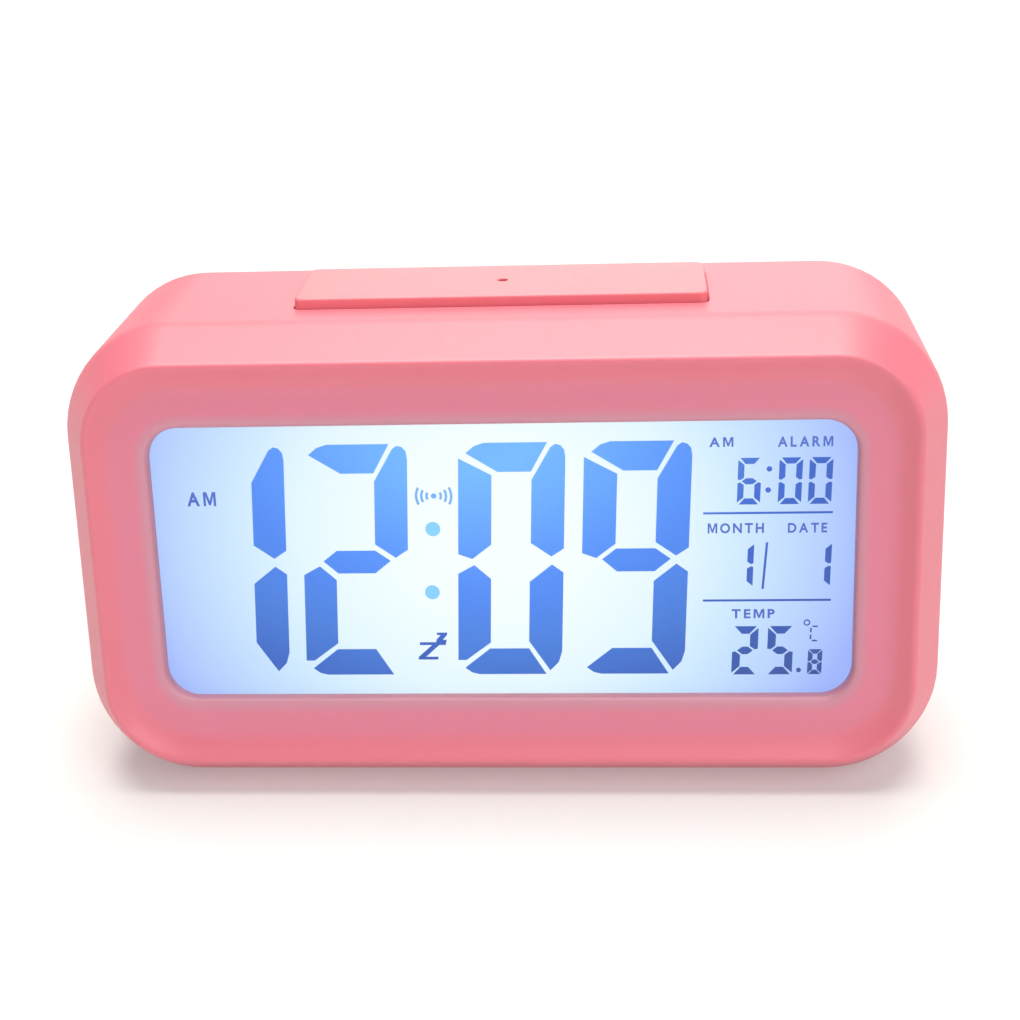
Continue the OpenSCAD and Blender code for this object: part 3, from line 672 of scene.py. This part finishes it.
# Segments of a large digit, as points from its lower left corner
BIG_SEGMENTS = {
    "a": [(1.1, 36.0), (2.4, 37.1), (3.9, 37.6), (13.5, 37.6), (11.1, 33.0), (6.0, 33.0)],
    "b": [
        (14.0, 36.8), (14.7, 37.3), (15.5, 37.1), (16.1, 36.4), (16.3, 35.2), (16.3, 20.7),
        (14.4, 19.4), (11.2, 21.6), (11.2, 31.7),
    ],
    "c": [
        (14.5, 18.1), (16.3, 16.8), (16.3, 3.8), (15.8, 2.0), (14.5, 0.6), (11.1, 5.5),
        (11.1, 15.3),
    ],
    "d": [(1.1, 1.1), (2.2, 0.3), (3.4, 0.0), (13.9, 0.0), (11.1, 4.3), (5.0, 4.3)],
    "e": [(0.0, 2.4), (1.3, 2.4), (5.1, 5.3), (5.1, 15.8), (2.5, 18.1), (0.0, 16.7)],
    "f": [(0.0, 35.2), (0.0, 19.9), (2.2, 19.1), (5.1, 21.4), (5.1, 32.5)],
    "g": [(3.1, 18.9), (5.2, 20.6), (11.2, 20.6), (13.6, 18.9), (11.2, 16.9), (5.4, 16.9)],
}
LIT_SEGMENTS = {
    "0": "abcdef", "1": "bc", "2": "abged", "5": "afgcd", "6": "afgedc", "8": "abcdefg", "9": "abcdfg",
    "C": "adef",
}


def small_segments(w, h, stroke, gap):
    """Segments of a small digit with mitred corners."""
    mid, s, g = h / 2, stroke, gap
    low = [(0, g), (0, mid - g), (s * 0.4, mid - g * 0.6), (s, mid - s * 0.6), (s, s + g / 2)]
    high = [(0, h - g), (s, h - s - g / 2), (s, mid + s * 0.6), (s * 0.4, mid + g * 0.6), (0, mid + g)]
    return {
        "a": [(g, h), (w - g, h), (w - s - g / 2, h - s), (s + g / 2, h - s)],
        "b": [(w - x, y) for x, y in high],
        "c": [(w - x, y) for x, y in low],
        "d": [(g, 0), (s + g / 2, s), (w - s - g / 2, s), (w - g, 0)],
        "e": low,
        "f": high,
        "g": [
            (s * 0.5 + g / 2, mid), (s + g, mid + s / 2), (w - s - g, mid + s / 2),
            (w - s * 0.5 - g / 2, mid), (w - s - g, mid - s / 2), (s + g, mid - s / 2),
        ],
    }


def digit(figure, segments, x, y, slant):
    """The lit segments of a figure whose lower left corner is at x, y on the face."""
    return [
        prism([(x + px + slant * py, y + py) for px, py in segments[name]])
        for name in LIT_SEGMENTS[figure]
    ]


def disc(x, y, r):
    """A round dot on the display."""
    return prism(circle(x, y, r))


def arc_band(x, y, r, width, first, last, steps=10):
    """A curved stroke on the display, between two angles in degrees."""
    outer = arc(x, y, r + width / 2, first, last, steps)
    inner = arc(x, y, r - width / 2, last, first, steps)
    return prism(outer + inner)


def strip(x0, y0, x1, y1, width):
    """A straight stroke on the display."""
    along = np.array([x1 - x0, y1 - y0]) / math.hypot(x1 - x0, y1 - y0)
    side = np.array([-along[1], along[0]]) * width / 2
    ends = [np.array([x0, y0]), np.array([x1, y1])]
    corners = [ends[0] + side, ends[1] + side, ends[1] - side, ends[0] - side]
    return prism(corners)


def zed(x, y, w, h, stroke, slant, reach=0.0):
    """A letter Z, the sign for a snooze, whose top stroke may reach further right."""
    k = stroke * 2.5
    outline = [
        (0, 0), (w, 0), (w, stroke), (k, stroke), (w, h - stroke), (w + reach, h - stroke),
        (w + reach, h), (0, h), (0, h - stroke), (w - k, h - stroke), (0, stroke),
    ]
    return prism([(x + px + slant * py, y + py) for px, py in outline])


# A capital M, one unit high
LETTER_M = [
    (0, 0), (0, 1), (0.27, 1), (0.5, 0.36), (0.73, 1), (1, 1), (1, 0), (0.81, 0), (0.81, 0.72),
    (0.58, 0.06), (0.42, 0.06), (0.19, 0.72), (0.19, 0),
]
LETTER_GAP = 0.3
LETTER_BOLD = 0.03


def letter(sign):
    """Points and faces of a bold capital, one unit high and one thick, from its left edge."""
    if sign == "M":
        return loft([np.array([(x, y, depth) for x, y in LETTER_M]) for depth in (0.0, 1.0)])
    curve = bpy.data.curves.new("letter", "FONT")
    curve.body = sign
    curve.offset = LETTER_BOLD
    curve.extrude = 0.01
    thing = bpy.data.objects.new("letter", curve)
    bpy.context.scene.collection.objects.link(thing)
    graph = bpy.context.evaluated_depsgraph_get()
    mesh = bpy.data.meshes.new_from_object(thing.evaluated_get(graph))
    points = np.array([v.co for v in mesh.vertices])
    faces = [tuple(p.vertices) for p in mesh.polygons]
    low = points.min(axis=0)
    width, height, thickness = points.max(axis=0) - low
    points = (points - low) / [height, height, thickness]
    bpy.data.objects.remove(thing)
    bpy.data.meshes.remove(mesh)
    return points, faces


def lettering(words, x, y, height, width):
    """A word on the display that fills a box from its lower left corner."""
    letters = [letter(sign) for sign in words]
    natural = sum(points[:, 0].max() for points, _ in letters) + LETTER_GAP * (len(words) - 1)
    stretch, start, parts = width / natural, 0.0, []
    for points, faces in letters:
        placed = [
            on_face(x + (start + px) * stretch, y + py * height, PICTURE_DEPTH - INK_T * (1 - pz))
            for px, py, pz in points
        ]
        parts.append((placed, faces))
        start += points[:, 0].max() + LETTER_GAP
    return parts


BIG_SLANT = 0.036
SMALL_SLANT = 0.03
TIME_Y, ALARM_Y, DATE_Y, TEMPERATURE_Y = -19.3, 8.15, -5.2, -19.5
TIME_DIGITS = {"1": -50.7, "2": -31.7, "0": -7.6, "9": 11.5}
COLON_DOTS = [(-10.65, 4.7, 1.16), (-11.15, -5.6, 1.16)]
SMALL_DOTS = [(40.6, 13.7, 0.42), (40.45, 10.4, 0.42), (45.5, -18.8, 0.38)]


def time_digits():
    """The hours and minutes, with the colon between them."""
    parts = []
    for figure, x in TIME_DIGITS.items():
        parts += digit(figure, BIG_SEGMENTS, x, TIME_Y, BIG_SLANT)
    dots = mesh_object("colon_dots", *join_parts([disc(*dot) for dot in COLON_DOTS]))
    dressed(dots, LOOKS["display_dots"])
    made = mesh_object("time_digits", *join_parts(parts))
    dressed(made, LOOKS["display_ink"])


def small_digits():
    """The alarm time, the date and the temperature."""
    small = small_segments(3.5, 7.3, 0.95, 0.3)
    wide = small_segments(3.95, 8.0, 1.25, 0.28)
    tiny = small_segments(2.2, 4.15, 0.74, 0.13)
    figures = [
        ("6", small, 35.75, ALARM_Y), ("0", small, 41.9, ALARM_Y), ("0", small, 46.4, ALARM_Y),
        ("1", small, 34.75, DATE_Y), ("1", small, 46.5, DATE_Y),
        ("2", wide, 35.1, TEMPERATURE_Y), ("5", wide, 40.5, TEMPERATURE_Y),
        ("8", tiny, 46.8, TEMPERATURE_Y),
    ]
    parts = []
    for figure, segments, x, y in figures:
        parts += digit(figure, segments, x, y, SMALL_SLANT)
    parts += [disc(*dot) for dot in SMALL_DOTS]
    made = mesh_object("small_digits", *join_parts(parts))
    dressed(made, LOOKS["display_fine"])


def signs():
    """Rules, the alarm and snooze signs, and the degree sign."""
    bell_x, bell_y = -10.3, 10.0
    parts = [
        strip(30.7, 6.8, 50.2, 6.8, 0.34), strip(30.7, -7.25, 50.2, -7.25, 0.34),
        strip(40.4, 2.1, 39.8, -5.4, 0.36), disc(bell_x, bell_y, 0.42),
        arc_band(46.65, -10.95, 0.42, 0.2, 0, 359, 30),
    ]
    for side in (0, 180):
        for r in (1.1, 1.9, 2.7):
            parts.append(arc_band(bell_x, bell_y, r, 0.38, side - 30, side + 30))
    parts += [
        zed(-13.8, -16.8, 3.1, 2.9, 0.46, 0.12, 1.0),
        zed(-10.9, -13.9, 1.6, 1.6, 0.4, 0.12),
    ]
    thin = small_segments(1.5, 2.6, 0.26, 0.3)
    parts += digit("C", thin, 47.1, -14.05, SMALL_SLANT)
    made = mesh_object("display_signs", *join_parts(parts))
    dressed(made, LOOKS["display_fine"])


def labels():
    """The plain words beside the figures."""
    words = [
        ("AM", -48.6, 8.75, 2.25, 4.5), ("AM", 31.6, 17.2, 1.5, 3.6), ("ALARM", 41.8, 17.1, 1.6, 8.2),
        ("MONTH", 31.4, 3.6, 1.6, 8.5), ("DATE", 43.5, 3.6, 1.55, 5.9), ("TEMP", 35.1, -10.2, 1.5, 6.6),
    ]
    parts = [part for word in words for part in lettering(*word)]
    made = mesh_object("display_labels", *join_parts(parts))
    dressed(made, LOOKS["display_print"])


# ---- The back


def opening(w, h, r, x, z, ease=CONTROL_EASE):
    """A cutter through the rear cover whose outer edge is eased."""
    grow = 2
    return loft(soften([
        (upright_loop(w, h, r, COVER_IN - 1, x, z), 0),
        (upright_loop(w, h, r, COVER_OUT, x, z), ease),
        (upright_loop(w + grow, h + grow, r + grow / 2, COVER_OUT, x, z), 0),
        (upright_loop(w + grow, h + grow, r + grow / 2, COVER_OUT + 1, x, z), 0),
    ], steps=3))


def turned(stations, x, z):
    """A round solid along Y from (diameter, y) pairs."""
    return loft([upright_loop(d, d, d / 2, y, x, z) for d, y in stations])


def slot_middle(name):
    """The middle of a slide switch's slot, across the back."""
    return middle(name + "_slider")[0] + SLIDE_TRAVEL / 2


def rear_plate():
    """The rear cover's panel with every opening, and marks beside the slide switches."""
    plate = mesh_object("rear_plate", *loft(soften([
        (upright_loop(COVER_W, COVER_H, COVER_R, COVER_IN, z=CASE_MID_Z), 0),
        (upright_loop(COVER_W, COVER_H, COVER_R, COVER_OUT, z=CASE_MID_Z), 0.5),
        (upright_loop(COVER_W - 8, COVER_H - 8, COVER_R - 4, COVER_OUT, z=CASE_MID_Z), 0),
    ])))
    cuts = [opening(DOOR_W + 0.4, DOOR_H + 0.4, 0.3, 0, DOOR_Z + DOOR_H / 2, 0.35)]
    for name in BUTTONS:
        at = middle(name + "_button")[0]
        cuts.append(opening(CAP_W + 0.4, CAP_H + 0.4, CAP_R + 0.2, at, CONTROLS_Z))
    for name in SLIDERS:
        cuts.append(opening(KNOB_W + 0.6 + SLIDE_TRAVEL, KNOB_H + 0.6, 1.0, slot_middle(name), CONTROLS_Z))
    holes = [(SOUNDER_X, GRILLE_Z)]
    for ring in (1, 2):
        holes += circle(SOUNDER_X, GRILLE_Z, SOUND_PITCH * ring, 6 * ring)
    cuts += [opening(SOUND_HOLE_D, SOUND_HOLE_D, SOUND_HOLE_D / 2, x, z, 0.15) for x, z in holes]
    for k in range(-2, 3):
        cuts.append(opening(VENT_W, VENT_H, VENT_W / 2, VENT_X + VENT_PITCH * k, GRILLE_Z, 0.2))
    sink = [(3.2, COVER_IN - 1), (3.2, COVER_OUT - 1.4), (5.8, COVER_OUT), (5.8, COVER_OUT + 1)]
    for x in (-SCREW_X, SCREW_X):
        for z in (CASE_MID_Z - SCREW_UP, CASE_MID_Z + SCREW_UP):
            cuts.append(turned(sink, x, z))
    cut(plate, cuts)
    marks = []
    for name in SLIDERS:
        for side, size in ((-8, (1.6, 1.6, 0.79)), (8, (0.5, 1.8, 0.24))):
            at = slot_middle(name) + side
            foot = upright_loop(*size, COVER_OUT - 0.2, at, CONTROLS_Z)
            top = upright_loop(*size, COVER_OUT + 0.2, at, CONTROLS_Z)
            marks.append(loft(soften([(foot, 0), (top, 0.1), ((top + top.mean(axis=0)) / 2, 0)])))
    cut(plate, marks, "UNION")
    dressed(plate, LOOKS["pink_housing"], replaces=["rear_cover"])


def battery_bay():
    """The tray behind the battery door."""
    outer = (BAY_W + 2 * BAY_WALL, BAY_H + 2 * BAY_WALL, 0.8)
    ledge = (DOOR_W + 3.4, DOOR_H + 3.4, 2.0)
    inner = (BAY_W, BAY_H, 0.5)
    corners = [
        (upright_loop(*outer, BAY_FLOOR - BAY_WALL, z=BAY_MID), 0),
        (upright_loop(*outer, COVER_IN - LEDGE_DEPTH, z=BAY_MID), 0),
        (upright_loop(*ledge, COVER_IN - LEDGE_DEPTH, z=BAY_MID), 0),
        (upright_loop(*ledge, COVER_IN, z=BAY_MID), 0),
        (upright_loop(*inner, COVER_IN, z=BAY_MID), 0.3),
        (upright_loop(*inner, BAY_FLOOR, z=BAY_MID), 0),
    ]
    tray = mesh_object("battery_tray", *loft(soften(corners)))
    dressed(tray, LOOKS["pink_housing"], replaces=["rear_cover"])


def bar_along_x(profile, x0, x1, ease):
    """A solid along X from a closed outline of (y, z) points, eased at both ends."""
    outline = np.array(profile)
    centre = outline.mean(axis=0)
    span = np.abs(outline - centre).max(axis=0)
    corner = [(0.0, 1.0), (0.3, 0.3), (1.0, 0.0)]
    rows = [(x0 + ease * along, ease * inset) for along, inset in corner]
    rows += [(x1 - ease * along, ease * inset) for along, inset in reversed(corner)]
    loops = []
    for x, inset in rows:
        drawn = centre + (outline - centre) * (span - inset) / span
        loops.append(np.array([(x, y, z) for y, z in drawn]))
    return loft(loops)


def door():
    """The battery door: a rounded lower edge on its pins, a latch bead, ribs and a finger notch."""
    inner = COVER_OUT - DOOR_T
    side = arc(HINGE_Y, HINGE_Z, DOOR_T / 2, -180, 0)
    side += arc(COVER_OUT - 0.45, DOOR_TOP - 0.45, 0.45, 0, 90)
    side += arc(inner + 0.2, DOOR_TOP - 0.2, 0.2, 90, 180)
    panel = mesh_object("door_panel", *bar_along_x(side, -DOOR_W / 2, DOOR_W / 2, 0.35))
    pin = arc(HINGE_Y, HINGE_Z, 0.6, 0, 345, 23)
    bead = arc(HINGE_Y, DOOR_TOP - 0.35, 0.5, 0, 345, 23)
    parts = [bar_along_x(pin, x - 1.2, x + 1.2, 0.15) for x in (0.2 - DOOR_W / 2, DOOR_W / 2 - 0.2)]
    parts.append(bar_along_x(bead, -5, 5, 0.4))
    rib = [(inner - 0.55, DOOR_Z + 4), (inner + 0.05, DOOR_Z + 4)]
    rib += [(inner + 0.05, DOOR_TOP - 4), (inner - 0.55, DOOR_TOP - 4)]
    parts += [bar_along_x(rib, x - 0.6, x + 0.6, 0.1) for x in (-12, 12)]
    cut(panel, parts, "UNION")
    notch = arc(COVER_OUT + 3.6, DOOR_TOP - 5, 4.6, 0, 354, 59)
    cut(panel, [bar_along_x(notch, -7, 7, 0.6)])
    ridges = []
    for k in range(3):
        z = DOOR_TOP - 10.5 - 1.8 * k
        ridge = arc(COVER_OUT - 0.1, z, 0.35, -90, 90) + [(COVER_OUT - 0.5, z)]
        ridges.append(bar_along_x(ridge, k - 6, 6 - k, 0.3))
    cut(panel, ridges, "UNION")
    dressed(panel, LOOKS["pink_housing"], "battery_door", ["battery_door"])


def icon(name, x, z):
    """A raised sign on a button: bars for the mode, a dot to set, and arrows up and down."""
    if name == "mode":
        bar = [(-1.6, -0.24), (1.6, -0.24), (1.6, 0.24), (-1.6, 0.24)]
        marks = [[(px, pz + k) for px, pz in bar] for k in (-1, 0, 1)]
    elif name == "set":
        marks = [circle(0, 0, 1)]
    else:
        lift = 1 if name == "up" else -1
        marks = [[(-1.5, -0.9 * lift), (1.5, -0.9 * lift), (0, 1.2 * lift)]]
    levels = (COVER_OUT + 0.5, COVER_OUT + 1.15)
    return [
        loft([np.array([(x + px, y, z + pz) for px, pz in outline]) for y in levels])
        for outline in marks
    ]


def set_button(name):
    """A push button with its flange behind the cover and a raised sign on its crowned cap."""
    x = middle(name + "_button")[0]
    top = COVER_OUT + 0.85
    corners = [
        (upright_loop(FLANGE_W, FLANGE_H, FLANGE_R, COVER_IN - 1.1, x, CONTROLS_Z), 0),
        (upright_loop(FLANGE_W, FLANGE_H, FLANGE_R, COVER_IN - 0.2, x, CONTROLS_Z), 0.1),
        (upright_loop(CAP_W, CAP_H, CAP_R, COVER_IN - 0.2, x, CONTROLS_Z), 0),
        (upright_loop(CAP_W, CAP_H, CAP_R, top - 0.1, x, CONTROLS_Z), 0.6),
        (upright_loop(CAP_W - 2.2, CAP_H - 2.2, CAP_R - 1.1, top, x, CONTROLS_Z), 0.4),
        (upright_loop(CAP_W - 4, CAP_H - 4, CAP_R - 2, top + 0.02, x, CONTROLS_Z), 0),
    ]
    key = mesh_object(name + "_key", *loft(soften(corners)))
    cut(key, icon(name, x, CONTROLS_Z), "UNION")
    dressed(key, LOOKS["pink_key"], name + "_button", [name + "_button"])


def slide_knob(name):
    """A thumb piece with three grip ridges."""
    x = middle(name + "_slider")[0]
    top = COVER_OUT + 0.2
    corners = [
        (upright_loop(SLIDE_W, SLIDE_H, 1.0, COVER_IN - 1.2, x, CONTROLS_Z), 0),
        (upright_loop(SLIDE_W, SLIDE_H, 1.0, COVER_IN - 0.2, x, CONTROLS_Z), 0.1),
        (upright_loop(KNOB_W, KNOB_H, 0.8, COVER_IN - 0.2, x, CONTROLS_Z), 0),
        (upright_loop(KNOB_W, KNOB_H, 0.8, top, x, CONTROLS_Z), 0.3),
        (upright_loop(KNOB_W - 2, KNOB_H - 2, 0.3, top, x, CONTROLS_Z), 0),
    ]
    knob = mesh_object(name + "_knob", *loft(soften(corners)))
    ridges = []
    for k in (-1, 0, 1):
        foot = upright_loop(0.7, 3.2, 0.3, COVER_OUT - 0.3, x + 1.7 * k, CONTROLS_Z)
        crest = upright_loop(0.7, 3.2, 0.3, COVER_OUT + 0.8, x + 1.7 * k, CONTROLS_Z)
        crown = crest * 0.3 + crest.mean(axis=0) * 0.7
        ridges.append(loft(soften([(foot, 0), (crest, 0.25), (crown, 0)])))
    cut(knob, ridges, "UNION")
    dressed(knob, LOOKS["pink_key"], name + "_slider", [name + "_slider"])


def ring_x(d, x, y, z):
    """A circle that faces along X."""
    return np.array([(x, py, pz) for py, pz in circle(y, z, d / 2, 40)])


def cell(node, side):
    """A cell whose positive end is on a side: jacket with rolled ends, and its two metal ends."""
    low, high = box_mm(node)
    y, z = middle(node)[1:]
    tip, tail = (low[0], high[0]) if side < 0 else (high[0], low[0])
    step = -side
    shoulder = tip + step
    jacket = [
        (8.6, shoulder + step * 0.3), (9.4, shoulder), (10.4, shoulder + step * 0.8),
        (10.4, tail - step * 0.8), (9.6, tail), (8.8, tail - step * 0.3),
    ]
    made = mesh_object(node + "_jacket", *loft([ring_x(d, x, y, z) for d, x in jacket]))
    dressed(made, LOOKS["cell_jacket"], replaces=[node])
    ends = [
        [(8.4, shoulder + step * 0.5), (8.4, shoulder + step * 0.15), (4.2, shoulder + step * 0.1),
         (3.8, shoulder - step * 0.1), (3.7, tip + step * 0.25), (3.2, tip), (2.0, tip)],
        [(8.7, tail - step * 0.5), (8.6, tail - step * 0.1), (5.0, tail - step * 0.02)],
    ]
    caps = [loft([ring_x(d, x, y, z) for d, x in stations]) for stations in ends]
    made = mesh_object(node + "_ends", *join_parts(caps))
    dressed(made, LOOKS["nickel_plate"], replaces=[node])


case_shell()
snooze_key()
lens()
display_background()
time_digits()
small_digits()
signs()
labels()
rear_plate()
battery_bay()
door()
for key_name in BUTTONS:
    set_button(key_name)
for knob_name in SLIDERS:
    slide_knob(knob_name)
for cell_node, cell_side in (("battery_upper", -1), ("battery_middle", 1), ("battery_lower", -1)):
    cell(cell_node, cell_side)


# ---- Stage, light and camera

FLOOR_REACH = 4000
FLOOR_GREY = (0.56, 0.56, 0.56, 1.0)
FLOOR_GLOW = 0.24
# Strength of the surroundings at two heights of the view's direction
HORIZON, HORIZON_GLOW = 0.06, 0.85
HIGH_SKY, HIGH_SKY_GLOW = 0.35, 0.25
NEUTRAL = (1.0, 1.0, 1.0)
WARM = (1.0, 0.98, 0.9)
# Each lamp's azimuth, elevation, strength, spread and colour
LAMPS = {
    "key_light": (36, 38, 1.1, 45, NEUTRAL),
    "top_light": (180, 83, 3.3, 40, WARM),
    "back_light": (175, 28, 0.8, 45, WARM),
}
EYE = Vector((20.0, -261.1, 149.5))
LOOK_AT = Vector((1.9, -20.3, 47.8))
ROLL = math.radians(2.24)
LENS_MM = 62.4


def floor():
    """A plain pale floor."""
    quadrants = ((-1, -1), (1, -1), (1, 1), (-1, 1))
    corners = [(FLOOR_REACH * x, FLOOR_REACH * y, 0) for x, y in quadrants]
    thing = mesh_object("floor", corners, [(0, 1, 2, 3)])
    look = Look("pale_floor", FLOOR_GREY, 0.8, Emission_Strength=FLOOR_GLOW)
    look.shader.inputs["Emission Color"].default_value = WHITE
    thing.data.materials.append(look.material)


def soft_sun(name, azimuth, elevation, power, spread, colour):
    """A broad soft light from far away; azimuth 0 is from the front, 90 from the right."""
    lamp = bpy.data.lights.new(name, "SUN")
    lamp.energy = power
    lamp.angle = math.radians(spread)
    lamp.color = colour
    thing = bpy.data.objects.new(name, lamp)
    thing.rotation_euler = (math.radians(90 - elevation), 0, math.radians(azimuth))
    bpy.context.scene.collection.objects.link(thing)


def camera():
    """A camera at the photograph's viewing angle."""
    data = bpy.data.cameras.new("camera")
    data.lens = LENS_MM
    data.clip_start = 0.01
    thing = bpy.data.objects.new("camera", data)
    turn = (LOOK_AT - EYE).to_track_quat("-Z", "Y").to_matrix() @ Matrix.Rotation(-ROLL, 3, "Z")
    thing.matrix_world = Matrix.Translation(EYE * MM) @ turn.to_4x4()
    bpy.context.scene.collection.objects.link(thing)
    bpy.context.scene.camera = thing


def studio():
    """White surroundings, brightest at the horizon, with soft lamps in front, above and behind."""
    world = bpy.data.worlds.new("studio")
    world.use_nodes = True
    tree = world.node_tree
    where = tree.nodes.new("ShaderNodeTexCoord")
    split = tree.nodes.new("ShaderNodeSeparateXYZ")
    height = tree.nodes.new("ShaderNodeMapRange")
    height.inputs["From Min"].default_value = HORIZON
    height.inputs["From Max"].default_value = HIGH_SKY
    height.inputs["To Min"].default_value = HORIZON_GLOW
    height.inputs["To Max"].default_value = HIGH_SKY_GLOW
    tree.links.new(where.outputs["Generated"], split.inputs["Vector"])
    tree.links.new(split.outputs["Z"], height.inputs["Value"])
    tree.links.new(height.outputs["Result"], tree.nodes["Background"].inputs["Strength"])
    tree.nodes["Background"].inputs["Color"].default_value = WHITE
    bpy.context.scene.world = world
    bpy.context.scene.view_settings.view_transform = "Standard"
    for name, settings in LAMPS.items():
        soft_sun(name, *settings)


floor()
studio()
camera()
